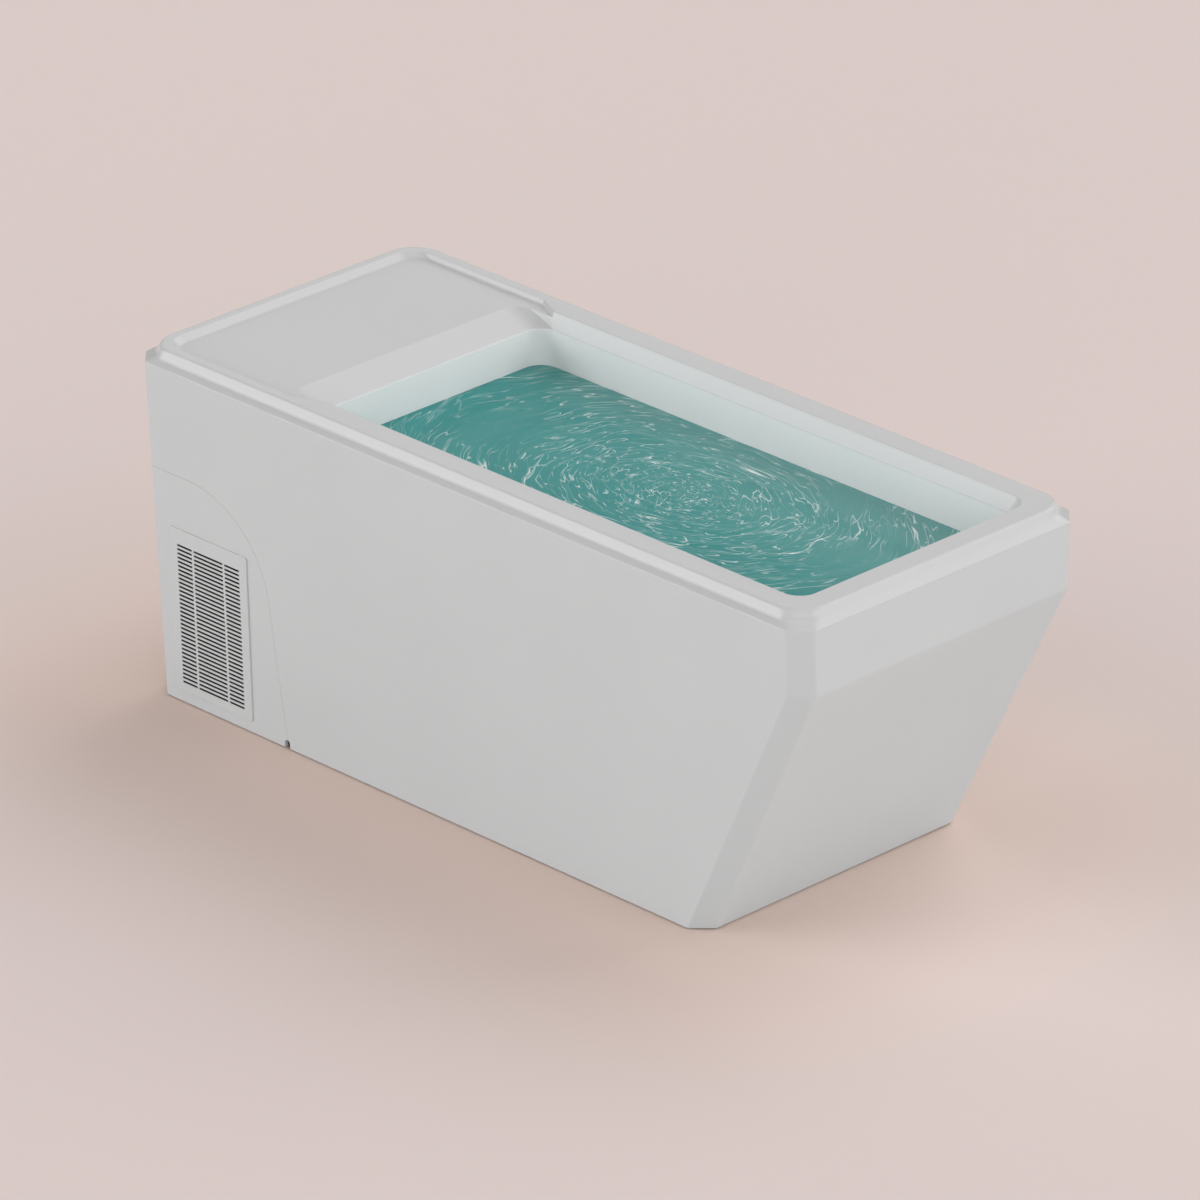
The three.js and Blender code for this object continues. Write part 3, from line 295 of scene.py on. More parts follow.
def still_water():
    """Teal water with painted highlights: fine bright lines painted along the crests on the circles of a
    slow swirl, calm patches between, and a painted reflection of the sky that pales it towards the far
    side.
    """
    finish = Finish("water", {"IOR": 1.33})
    x, y = finish.axes()[:2]
    wander = finish.speckle(6.0, 1.5) - 0.5
    sway = finish.noise(finish.stretched((1.0, -1.0, 1.0)), 6.5, 1.5) - 0.5
    aside = (x - SWIRL_X) * SWIRL_SQUEEZE + 0.06 * wander
    across = y - SWIRL_Y + 0.06 * sway
    reach = (aside * aside + across * across).root() + SWIRL_CORE

    def stream(round_it, outwards, detail=1.0, roughness=0.5):
        """Noise drawn out along the swirl: so many waves round it and so many in a metre outwards."""
        sockets = {"X": aside / reach * round_it, "Y": across / reach * round_it, "Z": reach * outwards}
        return finish.noise(finish.node("ShaderNodeCombineXYZ", sockets), 1.0, detail, roughness)

    def crest(wave, sharpness):
        return 1 - ((wave - 0.5).size() * sharpness).least(1.0)

    long_wave = stream(1.1, 34.0, 1.0, 0.3)
    short_wave = stream(1.9, 60.0, 1.0, 0.3)
    tiny_wave = stream(4.5, 110.0, 1.0, 0.3)
    strokes = stream(3.5, 20.0, 2.0).step(0.43, 0.66)
    flecks = stream(9.0, 60.0).step(0.46, 0.62)
    calm = 1.0
    for patch_x, patch_y, size in CALM_PATCHES:
        calm = calm * (((x - patch_x) ** 2.0 + (y - patch_y) ** 2.0).root() / size).step(0.6, 1.2)
    # painted highlights: bright lines along the crests stand in for the lamps' glints on the ripples
    long_lines = crest(long_wave, 110.0) * (0.2 + 0.8 * strokes)
    short_lines = crest(short_wave, 68.0) * (0.14 + 0.7 * strokes)
    tiny_lines = crest(tiny_wave, 34.0) * flecks * 0.75
    painted_glints = long_lines.most(short_lines).most(tiny_lines) * (0.1 + 0.9 * calm)
    deep = finish.mix(stream(1.3, 16.0, 3.0), colour(18, 134, 130), colour(44, 150, 147))
    # painted reflection: the water pales towards the far side like the sky reflected in it
    painted_glare = (y * 1.1 + (x - PAINTED_GLARE_X) * 0.25).step(-0.12, 0.42)
    teal = finish.mix(painted_glare * 0.6, deep, colour(122, 178, 174))
    tone = finish.mix(painted_glints, teal, colour(240, 249, 248))
    return finish.done(tone, 0.12 + 0.25 * painted_glints, long_wave + 0.5 * short_wave, 0.3, 0.004)


def painted_shade_foam():
    """Open black foam, so dark that the vents' slots read as holes: painted shade behind the slots."""
    finish = Finish("dust_mat", {"IOR": 1.3})
    tone = (0.002, 0.002, 0.002, 1.0)
    pores = finish.speckle(900.0, 3.0)
    return finish.done(finish.mix(pores, tone, toned(tone, 2)), 0.85 + 0.1 * pores, pores, 0.5, 0.0006)


def bare_metal(name, bright, dull, roughness, stretch):
    """Metal with brush lines along one way and duller patches."""
    finish = Finish(name, {"Metallic": 1.0})
    lines = finish.noise(finish.stretched(stretch), 60.0, 2.0)
    patches = finish.speckle(24.0, 4.0).step(0.38, 0.72)
    worn = roughness + 0.14 * patches + 0.1 * lines
    return finish.done(finish.mix(patches, bright, dull), worn, lines, 0.12, 0.0003)


def zinc_sheet():
    """Galvanised sheet with its spangle of flat grey crystals."""
    finish = Finish("zinc_sheet", {"Metallic": 1.0})
    spangle = finish.node("ShaderNodeSeparateColor", {"Color": finish.cells(90.0, "Color")})
    tone = finish.mix(spangle, colour(150, 155, 158), colour(196, 200, 202))
    return finish.done(tone, 0.34 + 0.2 * spangle, finish.speckle(300.0, 3.0), 0.1, 0.0002)


def enamel(name, tone):
    """Sprayed dark enamel with a slight peel and a little dust."""
    finish = Finish(name, {"IOR": 1.5})
    peel = finish.speckle(700.0, 2.0)
    dust = finish.speckle(40.0, 5.0).step(0.5, 0.8)
    dusty = finish.mix(dust * 0.35, tone, colour(88, 86, 82))
    return finish.done(dusty, 0.36 + 0.3 * dust, peel, 0.18, 0.0004)


def moulded_plastic(name, tone, pale, roughness):
    """Spark-textured plastic."""
    finish = Finish(name, {"IOR": 1.48})
    spark = finish.speckle(1600.0, 2.0)
    cloudy = finish.mix(finish.speckle(14.0, 4.0), tone, pale)
    return finish.done(cloudy, roughness + 0.12 * spark, spark, 0.25, 0.0003)


def birch_plywood():
    """Long grain on the faces and thin darker plies across the thickness."""
    finish = Finish("birch_plywood", {"IOR": 1.45})
    height = finish.axes()[2]
    grain = finish.noise(finish.stretched((2.0, 40.0, 40.0)), 4.0, 6.0, 0.6, 0.6)
    plies = (height * 2600).wave().step(-0.3, 0.5)
    wood = finish.mix(grain, colour(176, 138, 94), colour(208, 176, 132))
    tone = finish.mix(plies * 0.3, wood, colour(150, 112, 72))
    return finish.done(tone, 0.62 + 0.2 * grain, grain, 0.2, 0.0006)


def black_rubber():
    """Rubber with a pale bloom in patches and a fine grain."""
    finish = Finish("black_rubber", {"IOR": 1.5})
    bloom = finish.speckle(18.0, 5.0).step(0.42, 0.75)
    tone = finish.mix(bloom, colour(24, 25, 27), colour(42, 43, 45))
    return finish.done(tone, 0.6 + 0.2 * bloom, finish.speckle(900.0, 2.0), 0.3, 0.0004)


def sprayed_foam():
    finish = Finish("sprayed_foam", {"IOR": 1.3})
    cells = finish.cells(160.0, "Distance")
    tone = finish.mix(cells, colour(214, 196, 140), colour(240, 228, 186))
    return finish.done(tone, 0.9 - 0.1 * cells, cells, 0.6, 0.003)


def pleated_paper():
    finish = Finish("pleated_paper", {"IOR": 1.35})
    fibre = finish.noise(finish.stretched((300.0, 300.0, 40.0)), 3.0, 5.0)
    tone = finish.mix(fibre, colour(214, 220, 224), colour(238, 241, 242))
    return finish.done(tone, 0.82 + 0.1 * fibre, fibre, 0.3, 0.0004)


# Mesh tools

def rounded_path(corners, steps):
    """A polyline from (x, y, radius) corners: each inner corner becomes a curve of steps pieces."""
    points = [Vector(corners[0][:2])]
    for before, corner, after in zip(corners, corners[1:], corners[2:]):
        tip = Vector(corner[:2])
        to_before = (Vector(before[:2]) - tip).normalized()
        to_after = (Vector(after[:2]) - tip).normalized()
        turn = math.pi - to_before.angle(to_after)
        reach = corner[2] * math.tan(turn / 2)
        points += bend(tip + to_before * reach, tip, tip + to_after * reach, steps)
    points.append(Vector(corners[-1][:2]))
    return points


def bend(start, tip, end, steps):
    """A curve from start to end that leaves and arrives along the lines to the tip."""
    shares = [i / steps for i in range(steps + 1)]
    return [start * (1 - t) ** 2 + tip * (2 * t * (1 - t)) + end * t**2 for t in shares]


def round_corner(centre, radius, start, stop, steps):
    """Points on an arc, with its angles in degrees."""
    angles = [math.radians(start + (stop - start) * i / steps) for i in range(steps + 1)]
    return [Vector((centre[0] + radius * math.cos(a), centre[1] + radius * math.sin(a))) for a in angles]


def raise_ring(points, z):
    return [Vector((p.x, p.y, z)) for p in points]


def add_ring(mesh, points):
    return [mesh.verts.new(p) for p in points]


def skin_rings(mesh, rings, closed=True):
    """Quads between rings of equal point counts."""
    count = len(rings[0])
    last = count if closed else count - 1
    for low, high in zip(rings, rings[1:]):
        for i in range(last):
            j = (i + 1) % count
            mesh.faces.new((low[i], low[j], high[j], high[i]))


def add_loft(mesh, rings):
    """Adds a closed solid over rings listed upwards, anticlockwise seen from above."""
    rows = [add_ring(mesh, ring) for ring in rings]
    skin_rings(mesh, rows)
    mesh.faces.new(rows[0][::-1])
    mesh.faces.new(rows[-1])
    return mesh


def grid_border(grid):
    """The vertices round a grid of rows, in order."""
    low_side = grid[0][:-1] + [row[-1] for row in grid[:-1]]
    return low_side + grid[-1][:0:-1] + [row[0] for row in grid[:0:-1]]


def add_block(mesh, low, high):
    made = bmesh.ops.create_cube(mesh, size=1.0)["verts"]
    low, high = Vector(low), Vector(high)
    for vert in made:
        vert.co = Vector(((low[i] + high[i]) / 2 + vert.co[i] * (high[i] - low[i]) for i in range(3)))
    return made


def add_soft_block(mesh, low, high, rounding, segments, place=Matrix()):
    """Adds a block with rounded edges, standing in a place of its own."""
    made = add_block(mesh, low, high)
    bmesh.ops.transform(mesh, matrix=place, verts=made)
    edges = {edge for vert in made for edge in vert.link_edges}
    bmesh.ops.bevel(mesh, geom=list(edges), offset=rounding, segments=segments, affect="EDGES")


def new_object(name, mesh):
    """An object at the origin from a bmesh, which is freed."""
    data = bpy.data.meshes.new(name)
    mesh.to_mesh(data)
    mesh.free()
    made = bpy.data.objects.new(name, data)
    bpy.context.scene.collection.objects.link(made)
    return made


def loosened(made):
    """An object's mesh as a bmesh to go on with; the object is removed."""
    mesh = bmesh.new()
    mesh.from_mesh(made.data)
    bpy.data.meshes.remove(made.data)
    return mesh


def box_object(name, low, high):
    mesh = bmesh.new()
    add_block(mesh, low, high)
    return new_object(name, mesh)


def prism_object(name, outline, y0, y1):
    """A closed prism from an outline in X and Z, carried along Y."""
    mesh = add_loft(bmesh.new(), [[(p.x, y, p.y) for p in outline] for y in (y0, y1)])
    bmesh.ops.recalc_face_normals(mesh, faces=mesh.faces)
    return new_object(name, mesh)


def plain(made):
    """The object with its modifiers turned into plain mesh."""
    bpy.context.view_layer.update()
    graph = bpy.context.evaluated_depsgraph_get()
    data = bpy.data.meshes.new_from_object(made.evaluated_get(graph), depsgraph=graph)
    made.modifiers.clear()
    made.data = data
    data.name = made.name
    return made


def carve(made, cuts):
    """Cuts or keeps by each (operation, cutter) pair in turn; the cutters are removed."""
    for operation, cutter in cuts:
        step = made.modifiers.new("cut", "BOOLEAN")
        step.operation = operation
        step.object = cutter
        step.solver = "EXACT"
    plain(made)
    for _, cutter in cuts:
        bpy.data.objects.remove(cutter)
    return made


def thicken(made, depth):
    """Gives an open skin a thickness behind its face."""
    backing = made.modifiers.new("thickness", "SOLIDIFY")
    backing.thickness = depth
    backing.offset = -1
    return plain(made)


def soften(made, width, segments=2, angle=35):
    """Rounds the edges sharper than an angle and smooths the rest."""
    rounding = made.modifiers.new("round", "BEVEL")
    rounding.width = width
    rounding.segments = segments
    rounding.limit_method = "ANGLE"
    rounding.angle_limit = math.radians(angle)
    plain(made)
    return shade(made, angle)


def shade(made, angle=35):
    """Smooth shading that keeps flat faces flat."""
    made.data.shade_smooth()
    made.data.set_sharp_from_angle(angle=math.radians(angle))
    even = made.modifiers.new("even", "WEIGHTED_NORMAL")
    even.keep_sharp = True
    even.weight = 100
    return plain(made)


def dress(made, body, material, stands_for=()):
    """Gives a piece its finish, its body and the solids that it stands for."""
    made.data.materials.clear()
    made.data.materials.append(material)
    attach(made, body)
    if stands_for:
        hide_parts(*stands_for)
    return made


def add_piece(name, mesh, angle, material, slot, *stands_for, body="tub"):
    """A bmesh as a smooth piece in its finish, on the tub if no other body is named."""
    return dress(shade(new_object(name, mesh), angle), body, material, stands_for)


# Shell

def foot_lean(z):
    """How far the foot end leans in at a height, with a rounded knee."""
    rate = FOOT_LEAN / KNEE_HEIGHT
    below = KNEE_HEIGHT - z
    if abs(below) < KNEE_ROUND:
        return rate * (below + KNEE_ROUND) ** 2 / (4 * KNEE_ROUND)
    return rate * max(0.0, below)


def walls_at(z, inset):
    """The walls' extents (x0, x1, y1) at a height, moved in by an inset on each side."""
    drop = 1 - z / SHELL_TOP
    x0 = -HALF_LENGTH + HEAD_DRAFT * drop + inset["head"]
    x1 = HALF_LENGTH - foot_lean(z) - inset["foot"]
    y1 = HALF_WIDTH - SIDE_DRAFT * drop - inset["side"]
    return x0, x1, y1


def even_inset(depth):
    return {"side": depth, "head": depth, "foot": depth}


def faceted_outline(extents, leg, rounding=EDGE_ROUND, steps=5):
    """An outline with its corners cut at 45 degrees and each edge of the cut rounded."""
    x0, x1, y1 = extents
    near = [(x0 + leg, -y1), (x1 - leg, -y1), (x1, leg - y1)]
    far = [(x1, y1 - leg), (x1 - leg, y1), (x0 + leg, y1)]
    corners = near + far + [(x0, y1 - leg), (x0, leg - y1)]
    reach = rounding * math.tan(math.radians(22.5))
    points = []
    for i, corner in enumerate(corners):
        tip = Vector(corner)
        before = (Vector(corners[i - 1]) - tip).normalized()
        after = (Vector(corners[(i + 1) % 8]) - tip).normalized()
        points += bend(tip + before * reach, tip, tip + after * reach, steps)
    return points


def wall_solid(depth, z0, z1):
    """The space inside the walls, moved in by one depth all round."""
    leg = CORNER_LEG - depth * (2 - math.sqrt(2))
    knee = [KNEE_HEIGHT + KNEE_ROUND * i / 3 for i in range(-3, 4)]
    rings = []
    for z in (z0, *knee, z1):
        rings.append(raise_ring(faceted_outline(walls_at(z, even_inset(depth)), leg), z))
    return add_loft(bmesh.new(), rings)


def cover_outline(offset):
    """The service cover's outline in X and Z, grown by an offset."""
    centre_z = SEAM_TOP - SEAM_RADIUS
    foot_x = -HALF_LENGTH + SEAM_FOOT
    centre_x = foot_x - (SEAM_RADIUS + math.sin(SEAM_LEAN) * centre_z) / math.cos(SEAM_LEAN)
    below = -SHELL_TOP
    outside = -HALF_LENGTH - SEAM_RADIUS
    low_x = foot_x + (offset - math.sin(SEAM_LEAN) * below) / math.cos(SEAM_LEAN)
    arc = round_corner((centre_x, centre_z), SEAM_RADIUS + offset, math.degrees(SEAM_LEAN), 90, 40)
    corners = [(outside, below), (low_x, below)]
    return [Vector(c) for c in corners] + arc + [Vector((outside, SEAM_TOP + offset))]


def notch_cutter():
    """The round-topped notch for a cable where the seam meets the floor."""
    x0 = -HALF_LENGTH + SEAM_FOOT - NOTCH_WIDTH * 3 / 4
    radius = NOTCH_WIDTH / 2
    centre = (x0 + radius, SKIRT_BOTTOM + NOTCH_HEIGHT - radius)
    outline = round_corner(centre, radius, 0, 180, 12)
    outline = [Vector((x0 + NOTCH_WIDTH, -MM)), *outline, Vector((x0, -MM))]
    return prism_object("notch", outline, -HALF_WIDTH - SKIN, 0)


def skin_object(name):
    outer = new_object(name, wall_solid(0, SKIRT_BOTTOM, SHELL_TOP))
    inner = new_object("inner", wall_solid(SKIN, SKIRT_BOTTOM - MM, SHELL_TOP + MM))
    return carve(outer, [("DIFFERENCE", inner)])


def fixed_shell(material):
    shell = skin_object("shell_walls")
    opening = prism_object("opening", cover_outline(SEAM_GAP / 2), -1, 1)
    carve(shell, [("DIFFERENCE", opening), ("DIFFERENCE", notch_cutter())])
    soften(shell, SEAM_EDGE)
    panels = ("near_side_panel", "far_side_panel", "foot_end_panel", "head_end_panel")
    return dress(shell, "tub", material, panels)


def vent_window(side):
    """A box through one side wall where a grille sits."""
    x0, x1 = GRILLE_LOW.x + WINDOW_MARGIN, GRILLE_HIGH.x - WINDOW_MARGIN
    z0, z1 = GRILLE_LOW.z + WINDOW_MARGIN, GRILLE_HIGH.z - WINDOW_MARGIN
    y0, y1 = sorted((side * (HALF_WIDTH + SKIN), side * HALF_WIDTH / 2))
    return box_object("window", (x0, y0, z0), (x1, y1, z1))


def service_cover(material):
    cover = skin_object("service_cover_skin")
    keep = prism_object("keep", cover_outline(-SEAM_GAP / 2), -1, 1)
    cuts = [("INTERSECT", keep), ("DIFFERENCE", notch_cutter())]
    cuts += [("DIFFERENCE", vent_window(side)) for side in (-1, 1)]
    carve(cover, cuts)
    soften(cover, SEAM_EDGE)
    return dress(cover, "service_cover", material, ("service_cover",))


# Rim, deck and basin as one moulding

def rim_profile(side):
    """The rim's outside as (inset, z) points, from the wall's top edge to the flat lip."""
    edge = SHELL_TOP + FIT_GAP + RIM_EDGE
    inset, ledge = SHOULDER_INSET[side], LEDGE_WIDTH[side]
    shoulder = math.atan2(RIM_TOP - edge - LEDGE_RISE, inset - ledge)
    turn = shoulder - math.atan2(LEDGE_RISE, ledge)
    corners = [
        (0, SHELL_TOP, 0),
        (0, edge, RIM_EDGE_ROUND),
        (ledge, edge + LEDGE_RISE, COVE_REACH / math.tan(turn / 2)),
        (inset, RIM_TOP, SHOULDER_ROUND),
        (inset + LIP_FLAT, RIM_TOP, 0),
    ]
    return rounded_path(corners, 5)


def rim_rings():
    profiles = {side: rim_profile(side) for side in SHOULDER_INSET}
    rings = []
    for i, point in enumerate(profiles["side"]):
        inset = {side: profile[i].x for side, profile in profiles.items()}
        rounding = EDGE_ROUND + LIP_SOFTNESS * min(1.0, point.x / SHOULDER_INSET["side"])
        outline = faceted_outline(walls_at(SHELL_TOP, inset), CORNER_LEG, rounding)
        rings.append(raise_ring(outline, point.y))
    return rings


def recess_profile(side):
    """From the flat lip over its inner edge, down to the deck: (inset, fall) points."""
    run = RECESS_BEVEL[side]
    corners = [
        (-LIP_START, 0, 0),
        (0, 0, RECESS_EDGE_ROUND),
        (run, DECK_DROP, RECESS_FOOT_ROUND[side]),
        (run + LIP_START, DECK_DROP, 0),
    ]
    return rounded_path(corners, 5)[:-1]


def band_profile():
    """The same over the basin's mouth, where the band runs on down."""
    share = DECK_DROP / BAND_DROP
    corners = [(-LIP_START, 0, 0), (0, 0, BAND_EDGE_ROUND), (BAND_RUN * share, DECK_DROP, 0)]
    over = rounded_path(corners, 5)
    start, end = over[-2:]
    return over[:-1] + [start.lerp(end, (i + 1) / 6) for i in range(6)]


def recess_columns(head, side, band):
    """Points (x, y, z) round the recess from its far end to its near end, for one (inset, fall) each."""
    start_x, end_x = DECK_EDGE_X + RECESS_TAPER[0], TAPER_END_X
    head_x = -HALF_LENGTH + RECESS_LIP["head"] + head.x
    side_y = HALF_WIDTH - RECESS_LIP["side"] - side.x
    end_y = MOUTH_HALF - band.x
    half = [Vector((end_x, end_y, RIM_TOP - band.y))]
    taper_steps = 8
    for i in range(1, taper_steps + 1):
        share = i / taper_steps
        blend = share * share * (3 - 2 * share)
        fall = band.y + (side.y - band.y) * blend
        y = end_y + (side_y - end_y) * share
        half.append(Vector((end_x + (start_x - end_x) * share, y, RIM_TOP - fall)))
    centre = (head_x + RECESS_CORNER, side_y - RECESS_CORNER)
    for i, point in enumerate(round_corner(centre, RECESS_CORNER, 90, 180, CORNER_STEPS)):
        share = i / CORNER_STEPS
        half.append(Vector((point.x, point.y, RIM_TOP - side.y - (head.y - side.y) * share)))
    return half + [Vector((p.x, -p.y, p.z)) for p in reversed(half)]


def side_start(head_x):
    """Where the straight sides begin, clear of the head corners."""
    return max(TAPER_END_X, head_x + BASIN_CORNER + HEAD_CLEARANCE)


def mouth_columns(extents, start_x, corner, z):
    """Points round the mouth's sides and foot, from the near start to the far one, both left out."""
    x1, y1 = extents
    near = round_corner((x1 - corner, corner - y1), corner, -90, 0, CORNER_STEPS)
    far = round_corner((x1 - corner, y1 - corner), corner, 0, 90, CORNER_STEPS)
    along = [start_x + (x1 - corner - start_x) * i / 6 for i in range(1, 6)]
    outline = [Vector((x, -y1)) for x in along] + near + far
    outline += [Vector((x, y1)) for x in reversed(along)]
    return raise_ring(outline, z)


def head_columns(head_x, y1, start_x, corner, z):
    """Points round the mouth's head end, from the far start to the near one, both left out."""
    far = round_corner((head_x + corner, y1 - corner), corner, 90, 180, CORNER_STEPS)
    half = [Vector(((head_x + corner + start_x) / 2, y1)), *far]
    outline = half + [Vector((p.x, -p.y)) for p in reversed(half)]
    return raise_ring(outline, z)


def whole_loop(head_x, x1, y1, corner, z):
    """The mouth's whole outline, in the columns' order."""
    start_x = side_start(head_x)
    head = head_columns(head_x, y1, start_x, corner, z)
    sides = mouth_columns((x1, y1), start_x, corner, z)
    return [*sides, Vector((start_x, y1, z)), *head, Vector((start_x, -y1, z))]


def slope_loop(z):
    """The outline between the deck's level and the band's foot."""
    share = (DECK_LEVEL - z) / (DECK_LEVEL - BAND_FOOT)
    inset = BAND_RUN * (RIM_TOP - z) / BAND_DROP
    head_x = DECK_EDGE_X + HEAD_SLOPE_RUN * share
    return whole_loop(head_x, HALF_LENGTH - OPENING_INSET - inset, MOUTH_HALF - inset, BASIN_CORNER, z)


def basin_extents(z):
    """The basin wall's (x0, x1, y1) below the band."""
    top_x1 = HALF_LENGTH - OPENING_INSET - BAND_RUN
    knee_x1 = HALF_LENGTH - FOOT_WALL_DEPTH
    share = min(1.0, max(0.0, (BAND_FOOT - z) / (BAND_FOOT - KNEE_HEIGHT)))
    x1 = top_x1 + (knee_x1 - top_x1) * share - foot_lean(z)
    y1 = BASIN_HALF - BASIN_DRAFT * (BAND_FOOT - z) / (BAND_FOOT - BASIN_FLOOR)
    return BASIN_HEAD_X, x1, y1


def basin_loop(z, inset=0.0):
    """The basin's outline at a height below the band, moved in by an inset."""
    x0, x1, y1 = basin_extents(z)
    return whole_loop(x0 + inset, x1 - inset, y1 - inset, BASIN_CORNER - inset, z)


def fill_flat(mesh, *loops):
    """Fills the flat region between closed loops of vertices."""
    edges = []
    for loop in loops:
        for a, b in zip(loop, loop[1:] + loop[:1]):
            edges.append(mesh.edges.get((a, b)) or mesh.edges.new((a, b)))
    bmesh.ops.triangle_fill(mesh, use_beauty=True, use_dissolve=False, edges=edges, normal=(0, 0, 1))


def painted_light_share(point):
    """How much the moulding is whitened by painted light: 0 on the rim, the lip and the deck, 1 on the
    basin's walls.
    """
    x, y, z = point
    deep = min(1.0, max(0.0, (BAND_FOOT + CREASE_RISE - z) / CREASE_FALL))
    if x < TAPER_END_X:
        within = abs(y) < MOUTH_HALF and x > DECK_EDGE_X - MM
        return deep if within else 0.0
    within = abs(y) < MOUTH_HALF + MM and x < HALF_LENGTH - OPENING_INSET + MM
    band = BAND_PAINTED_LIGHT * min(1.0, max(0.0, (RIM_TOP - z) / BAND_FADE))
    return max(deep, band) if within else 0.0


def basin_rings():
    """Rings down the slope and the band, round the crease, down the walls and over the floor's fillet."""
    crease_top = BAND_FOOT + CREASE_RISE
    rings = [slope_loop(DECK_LEVEL + (crease_top - DECK_LEVEL) * share) for share in SLOPE_SHARES]
    crease = zip(slope_loop(crease_top), slope_loop(BAND_FOOT), basin_loop(BAND_FOOT - CREASE_FALL))
    rings += list(zip(*[bend(*points, 5) for points in crease]))[1:]
    for z in (MID_WALL, WATER_LEVEL, KNEE_HEIGHT + KNEE_ROUND, KNEE_HEIGHT - KNEE_ROUND):
        rings.append(basin_loop(z))
    for degrees in range(90, -1, -15):
        angle = math.radians(degrees)
        z = BASIN_FLOOR + FLOOR_FILLET * (1 - math.cos(angle))
        rings.append(basin_loop(z, FLOOR_FILLET * (1 - math.sin(angle))))
    return rings


def tub_moulding(material):
    """The rim's outside, the lip, the deck recess and the basin as one closed skin."""
    mesh = bmesh.new()
    outside = [add_ring(mesh, ring) for ring in rim_rings()]
    skin_rings(mesh, outside)

    inside = []
    for head, side, band in zip(recess_profile("head"), recess_profile("side"), band_profile()):
        extents = HALF_LENGTH - OPENING_INSET - band.x, MOUTH_HALF - band.x
        mouth = mouth_columns(extents, TAPER_END_X, BASIN_CORNER, RIM_TOP - band.y)
        inside.append(add_ring(mesh, mouth + recess_columns(head, side, band)))
    skin_rings(mesh, inside)
    fill_flat(mesh, outside[-1], inside[0])

    sides, deck_outer = inside[-1][:len(mouth)], inside[-1][len(mouth):]
    mouth_y = BASIN_HALF + BAND_RUN * (DECK_LEVEL - BAND_FOOT) / BAND_DROP
    deck_inner = add_ring(mesh, head_columns(DECK_EDGE_X, mouth_y, TAPER_END_X, BASIN_CORNER, DECK_LEVEL))
    fill_flat(mesh, deck_outer + deck_inner[::-1])

    rows = [[*sides, deck_outer[0], *deck_inner, deck_outer[-1]]]
    rows += [add_ring(mesh, ring) for ring in basin_rings()]
    skin_rings(mesh, rows)
    mesh.faces.new(rows[-1])
    bmesh.ops.recalc_face_normals(mesh, faces=mesh.faces)
    floor = max(mesh.faces, key=lambda face: face.calc_area())
    if floor.normal.z < 0:
        bmesh.ops.reverse_faces(mesh, faces=mesh.faces)
    moulding = new_object("tub_moulding", mesh)
    thicken(moulding, MOULDING_SKIN)
    shade(moulding, 40)
    # painted light: each vertex's share of the whiter basin tone
    painted_brightening = moulding.data.attributes.new("inside", "FLOAT", "POINT")
    for vert in moulding.data.vertices:
        painted_brightening.data[vert.index].value = painted_light_share(vert.co)
    return dress(moulding, "tub", material, ("rim_and_deck", "basin_liner"))


# Water

def ripple(x, y):
    """The water's height above its level: broad swells with finer ripples along the swirl."""
    aside, across = (x - SWIRL_X) * SWIRL_SQUEEZE, y - SWIRL_Y
    reach = math.hypot(aside, across) + SWIRL_CORE
    swell = noise.noise(Vector((x * 5, y * 7, 1.3)))
    stream = Vector((3 * aside / reach, 3 * across / reach, 38 * (reach + 0.05 * swell)))
    fine = noise.noise(stream) + 0.5 * noise.noise(stream * 2.3)
    return RIPPLE_HEIGHT * (swell + fine)


def water_body(material):
    """A closed body of water whose top is a grid of rows cut to the basin's rounded outline."""
    x0, x1, y1 = basin_extents(WATER_LEVEL)
    x0, x1, y1 = x0 + WATER_CLEARANCE, x1 - WATER_CLEARANCE, y1 - WATER_CLEARANCE
    rows, columns = WATER_GRID
    mesh = bmesh.new()
    grid = []
    for i in range(rows + 1):
        y = -y1 + 2 * y1 * i / rows
        into = max(0.0, abs(y) - (y1 - BASIN_CORNER))
        cut = BASIN_CORNER - math.sqrt(max(0.0, BASIN_CORNER**2 - into**2))
        row = []
        for j in range(columns + 1):
            x = x0 + cut + (x1 - x0 - 2 * cut) * j / columns
            edge = min(i, rows - i, j, columns - j) / 4
            row.append(mesh.verts.new((x, y, WATER_LEVEL + ripple(x, y) * min(1.0, 0.3 + edge))))
        grid.append(row)
    skin_rings(mesh, grid, closed=False)
    rim = grid_border(grid)
    limit = basin_extents(WATER_LEVEL - WATER_DEPTH)[1] - WATER_CLEARANCE
    skirt = []
    for vert in rim:
        x = x0 + (vert.co.x - x0) * (limit - x0) / (x1 - x0)
        skirt.append(mesh.verts.new((x, vert.co.y, WATER_LEVEL - WATER_DEPTH)))
    skin_rings(mesh, [skirt, rim])
    mesh.faces.new(skirt[::-1])
    body = new_object("water", mesh)
    body.data.shade_smooth()
    body.data.set_sharp_from_angle(angle=math.radians(50))
    return dress(body, "tub", material)


# Repeats made by geometry trees

